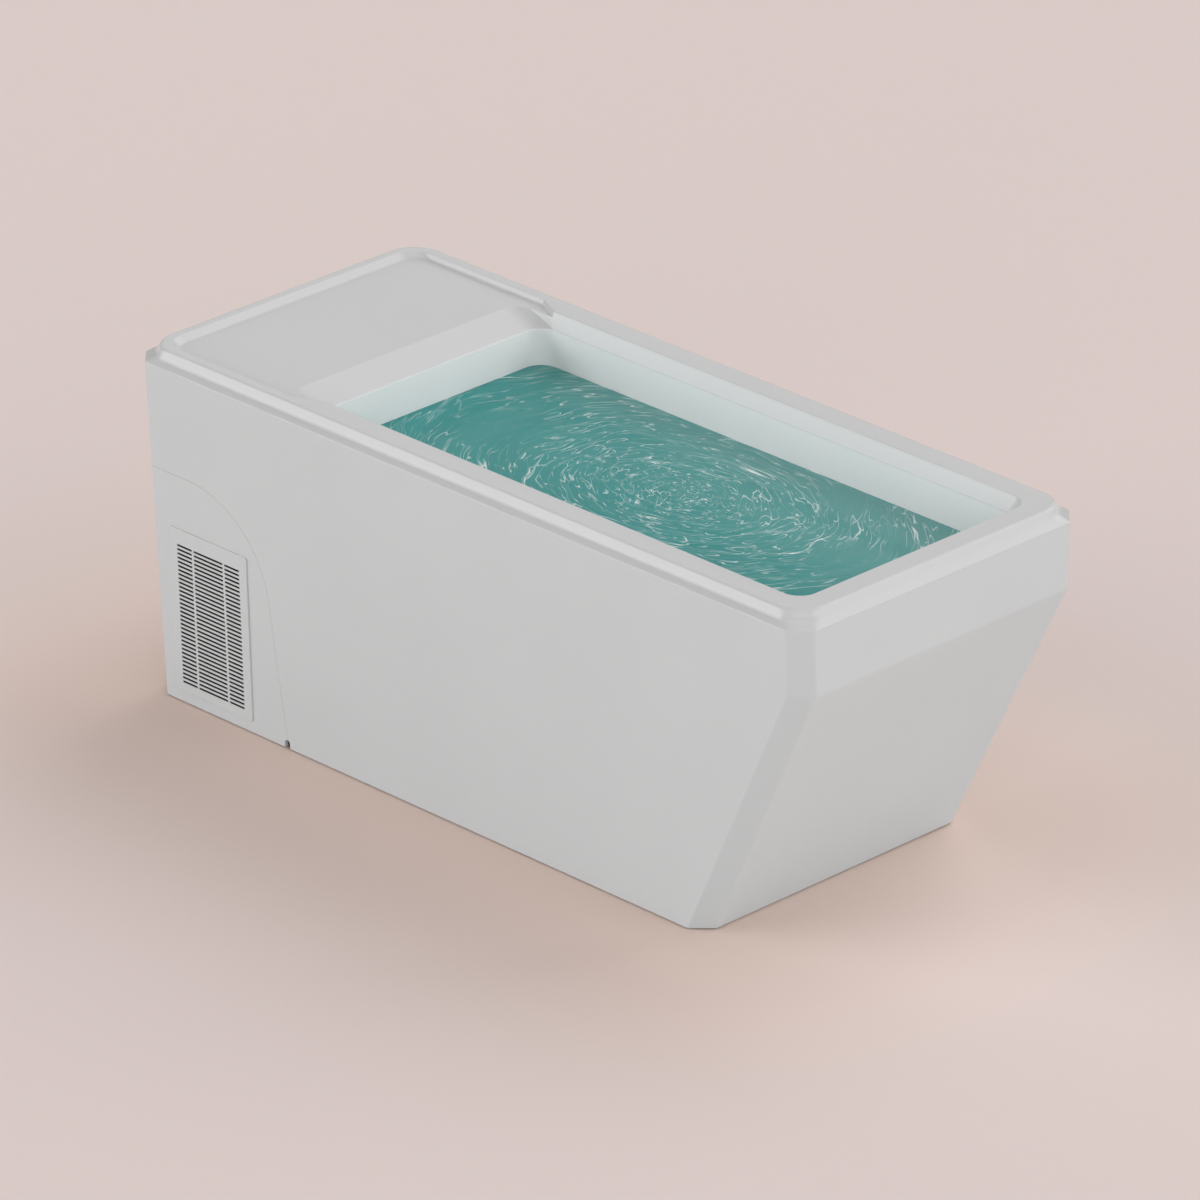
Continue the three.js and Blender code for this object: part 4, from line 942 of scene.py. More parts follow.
class Pattern(Graph):
    """A geometry tree in the making, with named inputs for its sizes."""

    def __init__(self, name):
        self.tree = bpy.data.node_groups.new(name, "GeometryNodeTree")
        self.start = self.tree.nodes.new("NodeGroupInput")
        self.piece = self.entry("Piece", "Geometry")

    def entry(self, name, kind):
        self.tree.interface.new_socket(name, in_out="INPUT", socket_type=f"NodeSocket{kind}")
        return Signal(self, self.start.outputs[name])

    def line(self, count, offset, start=(0, 0, 0)):
        """Points along a line, a count of them."""
        sockets = {"Count": count, "Start Location": start, "Offset": offset}
        return self.node("GeometryNodeMeshLine", sockets, {"mode": "OFFSET"})

    def spread(self, points, instance, **more):
        sockets = {"Points": points, "Instance": instance, **more}
        placed = self.node("GeometryNodeInstanceOnPoints", sockets)
        return self.node("GeometryNodeRealizeInstances", {0: placed})

    def finish(self, geometry):
        self.tree.interface.new_socket("Result", in_out="OUTPUT", socket_type="NodeSocketGeometry")
        end = self.tree.nodes.new("NodeGroupOutput")
        self.feed(end.inputs[0], geometry)
        return self.tree


def row_pattern():
    """The piece again and again along a straight line."""
    pattern = Pattern("row")
    line = pattern.line(pattern.entry("Count", "Int"), pattern.entry("Step", "Vector"))
    return pattern.finish(pattern.spread(line, pattern.piece))


def ring_pattern():
    """The piece again and again round its own Z."""
    pattern = Pattern("ring")
    count = pattern.entry("Count", "Int")
    line = pattern.line(count, (0, 0, 0))
    angle = pattern.node("GeometryNodeInputIndex") / count * math.tau
    turn = pattern.node("FunctionNodeAxisAngleToRotation", {"Axis": (0, 0, 1), "Angle": angle})
    return pattern.finish(pattern.spread(line, pattern.piece, Rotation=turn))


def fastener_pattern():
    """One fastener on every point of the piece."""
    pattern = Pattern("fasteners")
    fastener = pattern.entry("Fastener", "Object")
    shape = pattern.node("GeometryNodeObjectInfo", {"Object": fastener}, output="Geometry")
    return pattern.finish(pattern.spread(pattern.piece, shape))


def slot_pattern():
    """Rows of three slots cut through the piece, which is a plate."""
    pattern = Pattern("vent_slots")
    middle = pattern.entry("Middle slot", "Vector")
    outer = pattern.entry("Outer slot", "Vector")
    aside = pattern.entry("Outer place", "Vector")
    sockets = {"Vector": aside, "Scale": -1.0}
    mirrored = pattern.node("ShaderNodeVectorMath", sockets, {"operation": "SCALE"})
    slots = [pattern.node("GeometryNodeMeshCube", {"Size": middle})]
    for shift in (aside, mirrored):
        cube = pattern.node("GeometryNodeMeshCube", {"Size": outer})
        slots.append(pattern.node("GeometryNodeTransform", {"Geometry": cube, "Translation": shift}))
    join = pattern.tree.nodes.new("GeometryNodeJoinGeometry")
    for slot in slots:
        pattern.feed(join.inputs[0], slot)
    rows = pattern.entry("Rows", "Int")
    line = pattern.line(rows, pattern.entry("Pitch", "Vector"), pattern.entry("First row", "Vector"))
    cutter = pattern.spread(line, Signal(pattern, join.outputs[0]))
    settings = {"operation": "DIFFERENCE", "solver": "EXACT"}
    sockets = {"Mesh 1": pattern.piece, "Mesh 2": cutter}
    return pattern.finish(pattern.node("GeometryNodeMeshBoolean", sockets, settings))


def patterned(made, tree, values):
    """Runs a tree on an object and turns the result into plain mesh."""
    step = made.modifiers.new("pattern", "NODES")
    step.node_group = tree
    for item in tree.interface.items_tree:
        if item.in_out == "INPUT" and item.name in values:
            step[item.identifier] = values[item.name]
    return plain(made)


def repeated(mesh, tree, values):
    """A bmesh run through a tree, as a bmesh to go on with."""
    return loosened(patterned(new_object("repeat", mesh), tree, values))


ROW = row_pattern()
RING = ring_pattern()
FASTENERS = fastener_pattern()
SLOTS = slot_pattern()


# Vents

PLATE_WIDTH = GRILLE_HIGH.x - GRILLE_LOW.x
PLATE_HEIGHT = 368 * MM
PLATE_THICKNESS = 3 * MM
PLATE_CORNER = 6 * MM
PLATE_LIP = 1.5 * MM
SLOT_ROWS = 34
SLOT_PITCH = 9.35 * MM
SLOT_HEIGHT = 4.8 * MM
SLOT_MIDDLE = 86 * MM
SLOT_OUTER = 43.5 * MM
SLOT_MULLION = 5.3 * MM
SLOT_DROP = 6.3 * MM
SPIGOT_DEPTH = 5.5 * MM
SPIGOT_WALL = 4 * MM
FACE_SHEET = 1.2 * MM
VENT_X = (GRILLE_LOW.x + GRILLE_HIGH.x) / 2
VENT_Z = 212 * MM


def rounded_rectangle(half_width, half_height, radius, steps=6):
    points = []
    for start, x, y in ((-90, 1, -1), (0, 1, 1), (90, -1, 1), (180, -1, -1)):
        centre = (x * (half_width - radius), y * (half_height - radius))
        points += round_corner(centre, radius, start, start + 90, steps)
    return points


def wall_seat():
    """The near wall's own frame at the vent: X along it, Y up it, Z out of it."""
    lean = math.atan(SIDE_DRAFT / SHELL_TOP)
    wall = walls_at(VENT_Z, even_inset(0))[2] + FIT_GAP
    place = Matrix.Translation((VENT_X, -wall, VENT_Z))
    return place @ Matrix.Rotation(math.pi / 2 + lean, 4, "X")


def seated(made, side):
    """Stands a vent's piece in its wall; a far one is mirrored, with its faces turned back outwards."""
    made.data.transform(wall_seat())
    if side == "far":
        for vert in made.data.vertices:
            vert.co.y = -vert.co.y
        made.data.flip_normals()
    return made


def vent_outline(reach, radius):
    """The plate's outline moved in by a reach."""
    return rounded_rectangle(PLATE_WIDTH / 2 - reach, PLATE_HEIGHT / 2 - reach, radius)


def vent_grille(side, material):
    """A slotted tray: a thin face, a rounded edge and a spigot that stands in the wall's window."""
    pocket = vent_outline(3 * SPIGOT_WALL + FIT_GAP, SPIGOT_WALL / 4)
    rings = [raise_ring(pocket, PLATE_THICKNESS - FACE_SHEET), raise_ring(pocket, -SPIGOT_DEPTH)]
    spigot = vent_outline(2 * SPIGOT_WALL + FIT_GAP, SPIGOT_WALL)
    rings += [raise_ring(spigot, -SPIGOT_DEPTH), raise_ring(spigot, -FIT_GAP / 2)]
    rings.append(raise_ring(vent_outline(0, PLATE_CORNER), -FIT_GAP / 2))
    for degrees in (0, 22.5, 45, 67.5, 90):
        turn = math.radians(degrees)
        inset = PLATE_LIP * (1 - math.cos(turn))
        outline = vent_outline(inset, PLATE_CORNER - inset)
        rings.append(raise_ring(outline, PLATE_THICKNESS - PLATE_LIP * (1 - math.sin(turn))))
    plate = new_object(f"vent_plate_{side}", add_loft(bmesh.new(), rings))
    deep = 4 * PLATE_THICKNESS
    values = {
        "Rows": SLOT_ROWS,
        "First row": (0, -(SLOT_ROWS - 1) / 2 * SLOT_PITCH - SLOT_DROP, 0),
        "Pitch": (0, SLOT_PITCH, 0),
        "Middle slot": (SLOT_MIDDLE, SLOT_HEIGHT, deep),
        "Outer slot": (SLOT_OUTER, SLOT_HEIGHT, deep),
        "Outer place": ((SLOT_MIDDLE + SLOT_OUTER) / 2 + SLOT_MULLION, 0, 0),
    }
    shade(patterned(plate, SLOTS, values))
    return dress(seated(plate, side), "service_cover", material, (f"vent_grille_{side}",))


def vent_painted_shade(side, material):
    """A black foam mat in the tray, right behind the slots: painted shade that makes them read as dark
    holes.
    """
    outline = vent_outline(3 * SPIGOT_WALL + 2 * FIT_GAP, SPIGOT_WALL / 4)
    back, front = -SPIGOT_DEPTH + MM, PLATE_THICKNESS - FACE_SHEET - FIT_GAP / 3
    mesh = add_loft(bmesh.new(), [raise_ring(outline, back), raise_ring(outline, front)])
    mat = seated(new_object(f"dust_mat_{side}", mesh), side)
    return dress(mat, "service_cover", material)


# Round and swept solids

UP = (0, 0, 1)
ALONG = (1, 0, 0)
TO_HEAD = (-1, 0, 0)
ACROSS = (0, 1, 0)
PORT_STUB = 14 * MM
PORT_RADIUS = 20 * MM


def stand(origin, towards):
    """A frame with its Z along a direction."""
    turn = Vector(towards).to_track_quat("Z", "Y").to_matrix().to_4x4()
    return Matrix.Translation(Vector(origin)) @ turn


def add_turned(mesh, profile, place, sides=64, closed=False):
    """Adds a solid turned about the place's Z, from (radius, height) points listed up the outside."""
    rows = []
    angles = [math.tau * i / sides for i in range(sides)]
    for radius, height in profile:
        if radius < 1e-6:
            rows.append([mesh.verts.new(place @ Vector((0, 0, height)))])
            continue
        ring = [Vector((radius * math.cos(a), radius * math.sin(a), height)) for a in angles]
        rows.append(add_ring(mesh, [place @ point for point in ring]))
    if closed:
        rows.append(rows[0])
    for low, high in zip(rows, rows[1:]):
        for i in range(sides):
            j = (i + 1) % sides
            if len(low) == 1:
                mesh.faces.new((low[0], high[j], high[i]))
            elif len(high) == 1:
                mesh.faces.new((low[i], low[j], high[0]))
            else:
                mesh.faces.new((low[i], low[j], high[j], high[i]))


def in_metres(corners):
    return [[value * MM for value in corner] for corner in corners]


def add_profile(mesh, corners, steps, origin, towards, sides=64, closed=False):
    """Adds a turned solid from (radius, height, rounding) corners in millimetres."""
    add_turned(mesh, rounded_path(in_metres(corners), steps), stand(origin, towards), sides, closed)


def add_cylinder(mesh, origin, towards, radius, length, edge=0.0, sides=48):
    """A round bar with rounded ends."""
    edge = max(edge, radius * 0.02)
    profile = rounded_path([(0, 0, 0), (radius, 0, edge), (radius, length, edge), (0, length, 0)], 3)
    add_turned(mesh, profile, stand(origin, towards), sides)


def smooth_route(points, steps):
    """A centripetal curve through points in millimetres, as points in metres."""
    points = [Vector(p) * MM for p in points]
    first = points[0] * 2 - points[1]
    last = points[-1] * 2 - points[-2]
    padded = [first, *points, last]
    route = []
    for a, b, c, d in zip(padded, padded[1:], padded[2:], padded[3:]):
        times = [0.0]
        for start, end in ((a, b), (b, c), (c, d)):
            times.append(times[-1] + math.sqrt((end - start).length))
        for i in range(steps):
            t = times[1] + (times[2] - times[1]) * i / steps
            route.append(centripetal_point((a, b, c, d), times, t))
    return route + [points[-1]]


def centripetal_point(points, times, t):
    a, b, c, d = points
    t0, t1, t2, t3 = times
    ab = a.lerp(b, (t - t0) / (t1 - t0))
    bc = b.lerp(c, (t - t1) / (t2 - t1))
    cd = c.lerp(d, (t - t2) / (t3 - t2))
    abc = ab.lerp(bc, (t - t0) / (t2 - t0))
    bcd = bc.lerp(cd, (t - t1) / (t3 - t1))
    return abc.lerp(bcd, (t - t1) / (t2 - t1))


def route_ends(route):
    """Each end of a route with the direction that leads back along it."""
    pairs = ((route[0], route[1]), (route[-1], route[-2]))
    return [(start, (beyond - start).normalized()) for start, beyond in pairs]


def add_tube(mesh, route, radius, sides=28):
    """A closed round tube along a route, its section carried without twist."""
    towards = (route[1] - route[0]).normalized()
    across = towards.orthogonal().normalized()
    angles = [math.tau * k / sides for k in range(sides)]
    rings = []
    for i, point in enumerate(route):
        before, after = route[max(0, i - 1)], route[min(len(route) - 1, i + 1)]
        turned_to = (after - before).normalized()
        across = (towards.rotation_difference(turned_to) @ across).normalized()
        towards = turned_to
        other = towards.cross(across)
        rings.append([point + (across * math.cos(a) + other * math.sin(a)) * radius for a in angles])
    add_loft(mesh, rings)


def soft_edged(node, name, body, material, width):
    """A solid's own shape with its loose triangles merged and its edges rounded."""
    mesh = bmesh.new()
    mesh.from_mesh(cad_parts[node].data)
    bmesh.ops.remove_doubles(mesh, verts=mesh.verts, dist=0.00001)
    bmesh.ops.dissolve_limit(mesh, angle_limit=math.radians(1), verts=mesh.verts, edges=mesh.edges)
    made = soften(new_object(name, mesh), width, 3, 30)
    return dress(made, body, material, (node,))


# Machinery behind the service cover

def compressor(can_finish, pipe_finish, cap_finish):
    low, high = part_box("compressor")
    foot = (high.x - low.x) / 2
    radius = foot - 10 * MM
    dome = 43 * MM
    shoulder = high.z - low.z - PORT_STUB - dome
    axis = Vector((low.x + foot, low.y + foot, low.z))
    base, can, seam = foot / MM, radius / MM, (shoulder + dome) * 0.52 / MM
    corners = [(0, 0, 0), (base, 0, 2), (base, 8, 3), (can + 3, 10, 3), (can, 18, 4)]
    corners += [(can, seam, 0.8), (can + 1.5, seam + 1.5, 1), (can + 1.5, seam + 6, 1)]
    corners += [(can, seam + 7.5, 0.8), (can, shoulder / MM, 0)]
    profile = rounded_path(in_metres(corners), 4)
    for degrees in range(6, 91, 6):
        angle = math.radians(degrees)
        profile.append(Vector((radius * math.cos(angle), shoulder + dome * math.sin(angle))))
    mesh = bmesh.new()
    add_turned(mesh, profile, stand(axis, UP))
    add_piece("compressor_can", mesh, 30, can_finish, "painted", "compressor")

    mesh = bmesh.new()
    for aside in (-30 * MM, 30 * MM):
        add_cylinder(mesh, axis + Vector((aside, 0, shoulder)), UP, 7 * MM, dome + PORT_STUB)
    add_piece("compressor_stubs", mesh, 35, pipe_finish, "copper")

    x, half = axis.x - radius, 26 * MM
    near = (x - 14 * MM, axis.y - half, low.z + 70 * MM)
    far = (x + 12 * MM, axis.y + half, low.z + 132 * MM)
    cap = soften(box_object("compressor_terminal_cap", near, far), 5 * MM, 4)
    dress(cap, "tub", cap_finish)


def condenser(fin_finish, pipe_finish):
    """Upright fins between two end plates, with copper hairpins through them."""
    low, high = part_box("condenser_coil")
    bend_room = 12 * MM
    x0, x1 = low.x + bend_room, high.x - PORT_STUB - bend_room
    count, passes = 62, 10
    fin, plate, pipe = 0.5 * MM, 1.6 * MM, 4.5 * MM
    mesh = bmesh.new()
    add_block(mesh, (x0, low.y, low.z), (x0 + fin, high.y, high.z))
    step = (x1 - x0 - fin) / (count - 1)
    mesh = repeated(mesh, ROW, {"Count": count, "Step": (step, 0, 0)})
    for x in (x0 - plate, x1):
        add_block(mesh, (x, low.y, low.z), (x + plate, high.y, high.z))
    fins = new_object("condenser_fins", mesh)
    dress(fins, "tub", fin_finish, ("condenser_coil",))

    mesh = bmesh.new()
    y = (low.y + high.y) / 2
    margin = 36 * MM
    heights = [low.z + margin + (high.z - low.z - 2 * margin) * i / (passes - 1) for i in range(passes)]
    for i, z in enumerate(heights):
        lead = PORT_STUB + bend_room - 0.5 * MM if i in (0, passes - 1) else 0
        add_cylinder(mesh, (x0 - 2 * MM, y, z), ALONG, pipe, x1 - x0 + 4 * MM + lead, sides=20)
    half = (heights[1] - heights[0]) / 2
    for i in range(passes - 1):
        end, out = (x0 - MM, -1) if i % 2 == 0 else (x1 + MM, 1)
        middle = (heights[i] + heights[i + 1]) / 2
        route = []
        for k in range(13):
            angle = math.pi * k / 12
            reach = min(half, bend_room - pipe - MM) * math.sin(angle)
            route.append(Vector((end + out * reach, y, middle - half * math.cos(angle))))
        add_tube(mesh, route, pipe, 16)
    add_piece("condenser_hairpins", mesh, 35, pipe_finish, "copper")


def fan_shroud(material):
    low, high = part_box("fan_shroud")
    depth, wall, hole = 30 * MM, 2 * MM, 90 * MM
    back = low.y + depth
    x, z = (low.x + high.x) / 2, (low.z + high.z) / 2
    duct = box_object("duct", low, (high.x, back, high.z))
    core_low = (low.x + wall, low.y - MM, low.z + wall)
    core = box_object("core", core_low, (high.x - wall, back - wall, high.z - wall))
    mesh = bmesh.new()
    add_cylinder(mesh, (x, low.y, z), ACROSS, hole, 2 * depth, sides=96)
    carve(duct, [("DIFFERENCE", core), ("DIFFERENCE", new_object("hole", mesh))])
    mesh = loosened(soften(duct, 0.6 * MM, 2, 40))
    rolled = [(91.2, -8), (91.6, -0.5), (95, -0.5), (95, 0.2), (95, 2), (92, 2.6), (90, 1.5), (90, -8)]
    add_turned(mesh, in_metres(rolled), stand((x, back, z), ACROSS), 96, closed=True)
    half, thick = 13 * MM, 6 * MM
    reach = hole + 6 * MM
    legs = ((back - MM, -reach, -hole), (back - MM, hole, reach))
    for y, z0, z1 in ((high.y - thick, -reach, reach), *legs):
        add_soft_block(mesh, (x - half, y, z + z0), (x + half, high.y, z + z1), 0.8 * MM, 2)
    return add_piece("fan_duct", mesh, 40, material, "steel", "fan_shroud")


def fan_motor(material):
    low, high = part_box("fan_motor")
    radius = (high.x - low.x) / 2
    x, z = low.x + radius, low.z + radius
    can, length = radius / MM, 50
    start = high.y - length * MM
    corners = [(0, 0, 0), (can - 4, 0, 1), (can, 5, 3), (can, 17, 0.6), (can - 2, 18, 0.6)]
    corners += [(can - 2, 32, 0.6), (can, 33, 0.6), (can, length - 5, 4), (can - 9, length - 1, 2)]
    corners += [(can - 20, length, 1), (0, length, 0)]
    mesh = bmesh.new()
    add_profile(mesh, corners, 4, (x, start, z), ACROSS)
    add_cylinder(mesh, (x, low.y, z), ACROSS, 4 * MM, start - low.y + MM)
    return add_piece("fan_motor_can", mesh, 30, material, "painted", "fan_motor")


HUB_RADIUS = 22
BLADE_ROOT = 19 * MM
BLADE_TIP = 85.5 * MM
BLADE_CAMBER = 1.6 * MM
BLADE_HALF_THICKNESS = 1.1 * MM


def blade_point(share, along, side, half):
    """A point of a blade: share outwards, along its width from -1 to 1, on its under or upper side."""
    radius = BLADE_ROOT + (BLADE_TIP - BLADE_ROOT) * share
    span = 0.62 - 0.1 * share
    edge = math.sqrt(max(0.0, 1 - along**4)) * (1 - 0.25 * share**6)
    angle = math.radians(12) * share + span * along * (1 - 0.12 * share**8)
    rise = 0.45 * span * radius * along * (1 - 0.35 * share) - BLADE_CAMBER * (1 - along**2)
    rise = max(-half + 2 * MM, min(half - 2 * MM, rise))
    return radius * math.cos(angle), radius * math.sin(angle), rise + side * BLADE_HALF_THICKNESS * edge


def fan_rotor(material):
    """Five cambered blades on a domed hub with a bore for the shaft."""
    low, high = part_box("fan_rotor")
    axis = (-732 * MM, (low.y + high.y) / 2, 204.6 * MM)
    half = (high.y - low.y) / 2
    across, outward = 12, 10
    mesh = bmesh.new()
    rims = []
    for side in (-1, 1):
        grid = []
        for i in range(outward + 1):
            alongs = [j / across * 2 - 1 for j in range(across + 1)]
            row = [blade_point(i / outward, along, side, half) for along in alongs]
            grid.append(add_ring(mesh, row))
        rims.append(grid_border(grid))
        skin_rings(mesh, grid if side < 0 else [row[::-1] for row in grid], closed=False)
    skin_rings(mesh, rims)
    bmesh.ops.remove_doubles(mesh, verts=mesh.verts, dist=0.00001)
    bmesh.ops.recalc_face_normals(mesh, faces=mesh.faces)
    mesh = repeated(mesh, RING, {"Count": 5})
    end = half / MM
    corners = [(0, -end, 0), (HUB_RADIUS - 3, -end, 5), (HUB_RADIUS, 8 - end, 3), (HUB_RADIUS, end, 1.2)]
    corners += [(4.4, end, 0), (4.4, 2, 0.3), (0, 2, 0)]
    add_profile(mesh, corners, 4, (0, 0, 0), UP, 48)
    mesh.transform(Matrix.Translation(axis) @ Matrix.Rotation(-math.pi / 2, 4, "X"))
    return add_piece("fan_blades", mesh, 50, material, "plastic", "fan_rotor", body="fan")


def heat_exchanger(material):
    """A stack of thin plates between two cover plates, with four ports."""
    low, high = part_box("heat_exchanger")
    x0, x1 = low.x + PORT_STUB, high.x
    y0, y1 = low.y + PORT_STUB, high.y - PORT_STUB
    top = high.z - PORT_STUB
    middle = Vector(((x0 + x1) / 2, (y0 + y1) / 2, (low.z + top) / 2))

    def add_plate(mesh, x, thick, inset):
        outline = rounded_rectangle((top - low.z) / 2 - inset, (y1 - y0) / 2 - inset, 16 * MM)
        rings = []
        for depth in (x, x + thick):
            rings.append([Vector((depth, middle.y + p.y, middle.z - p.x)) for p in outline])
        add_loft(mesh, rings)

    cover, count = 5 * MM, 22
    step = (x1 - x0 - 2 * cover) / count
    mesh = bmesh.new()
    add_plate(mesh, x0 + cover, step * 0.62, 0.6 * MM)
    mesh = repeated(mesh, ROW, {"Count": count, "Step": (step, 0, 0)})
    add_plate(mesh, x0, cover, 0)
    add_plate(mesh, x1 - cover, cover, 0)
    add_plate(mesh, x0 + cover / 2, x1 - x0 - cover, 2.6 * MM)
    gas, into = 6 * MM, 3 * MM
    add_cylinder(mesh, (low.x, middle.y, low.z + 74 * MM), ALONG, PORT_RADIUS, PORT_STUB + MM)
    add_cylinder(mesh, (middle.x, middle.y, top - into), UP, PORT_RADIUS, PORT_STUB + into)
    add_cylinder(mesh, (middle.x, low.y, low.z + 37 * MM), ACROSS, gas, PORT_STUB + into)
    add_cylinder(mesh, (middle.x, y1 - into, top - 37 * MM), ACROSS, gas, PORT_STUB + into)
    return add_piece("exchanger_plates", mesh, 30, material, "steel", "heat_exchanger")


def circulation_pump(material):
    low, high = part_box("circulation_pump")
    volute, motor, core = 66, 54, 48
    x, z = low.x + volute * MM, low.z + 76 * MM
    stub = 22 * MM
    front = low.y + stub
    back = front + 46 * MM
    length = (high.y - back) / MM

    mesh = bmesh.new()
    add_block(mesh, ((core - 2) * MM, -1.1 * MM, 16 * MM), (motor * MM, 1.1 * MM, (length - 34) * MM))
    mesh = repeated(mesh, RING, {"Count": 36})
    mesh.transform(stand((x, back, z), ACROSS))
    corners = [(0, 0, 0), (motor, 0, 2), (motor, 12, 2), (core, 14, 2), (core, length - 32, 2)]
    corners += [(motor, length - 30, 2), (motor, length - 6, 8), (motor - 14, length, 3), (0, length, 0)]
    add_profile(mesh, corners, 4, (x, back, z), ACROSS, 72)
    corners = [(0, 0, 0), (26, 0, 2), (volute - 8, 8, 9), (volute - 3, 30, 3), (volute, 34, 1.5)]
    corners += [(volute, 46, 2), (0, 46.5, 0)]
    add_profile(mesh, corners, 5, (x, front, z), ACROSS, 72)
    add_cylinder(mesh, (x, low.y, z), ACROSS, PORT_RADIUS, stub + 4 * MM)
    outlet = (x, (front + back) / 2, z + volute * 0.6 * MM)
    add_cylinder(mesh, outlet, UP, PORT_RADIUS, high.z - outlet[2])
    for half, inset, z0, z1 in ((43, 20, low.z, low.z + 10 * MM), (26, 30, low.z + 4 * MM, z - 30 * MM)):
        foot = (x - half * MM, back + inset * MM, z0)
        add_soft_block(mesh, foot, (x + half * MM, high.y - inset * MM, z1), 2 * MM, 3)
    return add_piece("pump_body", mesh, 35, material, "plastic", "circulation_pump")


def filter_housing(material):
    """An open cup with upright ribs, a thick collar and two hose ports."""
    low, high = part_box("filter_housing")
    radius, wall, skin, inner = 60, 5, 57, 55
    axis = Vector((low.x + radius * MM, low.y + radius * MM, low.z))
    height = (high.z - low.z) / MM
    mesh = bmesh.new()
    add_block(mesh, ((skin - 1) * MM, -1.6 * MM, 12 * MM), (radius * MM, 1.6 * MM, (height - 34) * MM))
    mesh = repeated(mesh, RING, {"Count": 24})
    mesh.transform(stand(axis, UP))
    corners = [(0, 0, 0), (radius - 4, 0, 3), (radius, 5, 3), (radius, 12, 1.5), (skin, 14, 1.5)]
    corners += [(skin, height - 36, 1.5), (radius, height - 32, 1.5), (radius, height, 1)]
    corners += [(inner, height, 1), (inner, wall, 2), (0, wall, 0)]
    add_profile(mesh, corners, 4, axis, UP, 72)
    start = (inner + 1) * MM
    add_cylinder(mesh, axis + Vector((start, 0, 74 * MM)), ALONG, PORT_RADIUS, high.x - axis.x - start)
    add_cylinder(mesh, axis + Vector((0, start, 200 * MM)), ACROSS, PORT_RADIUS, high.y - axis.y - start)
    return add_piece("filter_cup", mesh, 35, material, "fitting", "filter_housing")


def filter_lid(material):
    """A bayonet lid with grips round its edge and a bar to turn it by."""
    low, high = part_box("filter_lid")
    axis = ((low.x + high.x) / 2, (low.y + high.y) / 2, low.z)
    radius, disc = (high.y - low.y) / 2 / MM, 12
    mesh = bmesh.new()
    grip = [(0, 0, 0), (3, 0, 0.8), (3, disc - 3, 1.5), (0, disc - 3, 0)]
    add_profile(mesh, grip, 2, ((radius - 3) * MM, 0, MM), UP, 12)
    mesh = repeated(mesh, RING, {"Count": 40})
    edge = radius - 1.5
    corners = [(0, 0, 0), (edge, 0, 1), (edge, disc - 2, 3), (radius - 14, disc, 3)]
    corners += [(radius - 17, disc - 2.5, 2), (0, disc - 2.5, 0)]
    add_profile(mesh, corners, 4, (0, 0, 0), UP, 72)
    half_length, half_width = 52 * MM, 7 * MM
    bar_top = (half_length, half_width, high.z - low.z)
    add_soft_block(mesh, (-half_length, -half_width, (disc - 4) * MM), bar_top, 5 * MM, 5)
    mesh.transform(stand(axis, UP))
    return add_piece("filter_cap", mesh, 40, material, "plastic", "filter_lid", body="filter_lid")


def filter_cartridge(material):
    """Pleated paper between two end caps."""
    low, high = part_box("filter_cartridge")
    radius, height = (high.x - low.x) / 2, high.z - low.z
    axis = Vector(((low.x + high.x) / 2, (low.y + high.y) / 2, low.z))
    cap, pleats = 10 * MM, 60
    rings = []
    for z in (cap / 2, height - cap / 2):
        ring = []
        for i in range(pleats * 2):
            angle = math.pi * i / pleats
            reach = radius - MM if i % 2 else radius - 9 * MM
            ring.append(axis + Vector((reach * math.cos(angle), reach * math.sin(angle), z)))
        rings.append(ring)
    mesh = add_loft(bmesh.new(), rings)
    edge = radius / MM
    for foot in (0, height - cap):
        corners = [(16, 0, 0), (edge, 0, 2), (edge, 10, 2), (16, 10, 0)]
        add_profile(mesh, corners, 3, axis + Vector((0, 0, foot)), UP, 60, closed=True)
    return add_piece("filter_pleats", mesh, 30, material, "paper", "filter_cartridge")


# Routes in millimetres, from port to port
HOSE_ROUTES = {
    "suction_hose": [
        (-539.9, 60, 232), (-565.9, 60, 232), (-684.95, 42, 187.3),
        (-796, 19.7, 134.6), (-830, 55.7, 122.6), (-830, 81.7, 122.6),
    ],
    "pump_hose": [
        (-830, 127, 210.9), (-830, 127, 236.9),
        (-830, 12.3, 246.6), (-830, -13.7, 246.6),
    ],
    "filter_hose": [
        (-753.7, -90, 120.6), (-733.7, -90, 120.6),
        (-674.3, -115, 120.6), (-654.3, -115, 120.6),
    ],
    "return_hose": [
        (-610, -115, 344.9), (-610, -115, 380.9),
        (-575.9, -150, 520), (-539.9, -150, 520),
    ],
}
LINE_ROUTES = {
    "discharge_line": [
        (-600, 215, 290.9), (-600, 215, 306.9), (-551.6, 165, 346.6),
        (-551.6, -262, 346.6), (-599.7, -332, 326.6), (-615.7, -332, 326.6),
    ],
    "liquid_line": [
        (-615.7, -332, 82.6), (-591.7, -332, 82.6),
        (-610, -198.3, 83.6), (-610, -174.3, 83.6),
    ],
    "suction_line": [
        (-610, -55.7, 293.6), (-610, -35.7, 293.6), (-635, 79.65, 336.9),
        (-660, 215, 310.9), (-660, 215, 290.9),
    ],
}
HOSE_RADIUS = 20
LINE_RADIUS = 5
BRAZED_COLLAR = [(0, 0, 0), (6.6, 0, 1), (6.6, 7, 1.5), (5, 10, 1), (0, 10, 0)]


def water_hoses(rubber, steel):
    """Four hoses, each with a worm-drive clamp at both ends."""
    clamps = bmesh.new()
    for node, points in HOSE_ROUTES.items():
        route = smooth_route(points, 14)
        mesh = bmesh.new()
        add_tube(mesh, route, HOSE_RADIUS * MM)
        add_piece(f"{node}_tube", mesh, 40, rubber, "rubber", node)
        for start, towards in route_ends(route):
            add_clamp(clamps, start, towards)
    add_piece("hose_clamps", clamps, 35, steel, "steel")


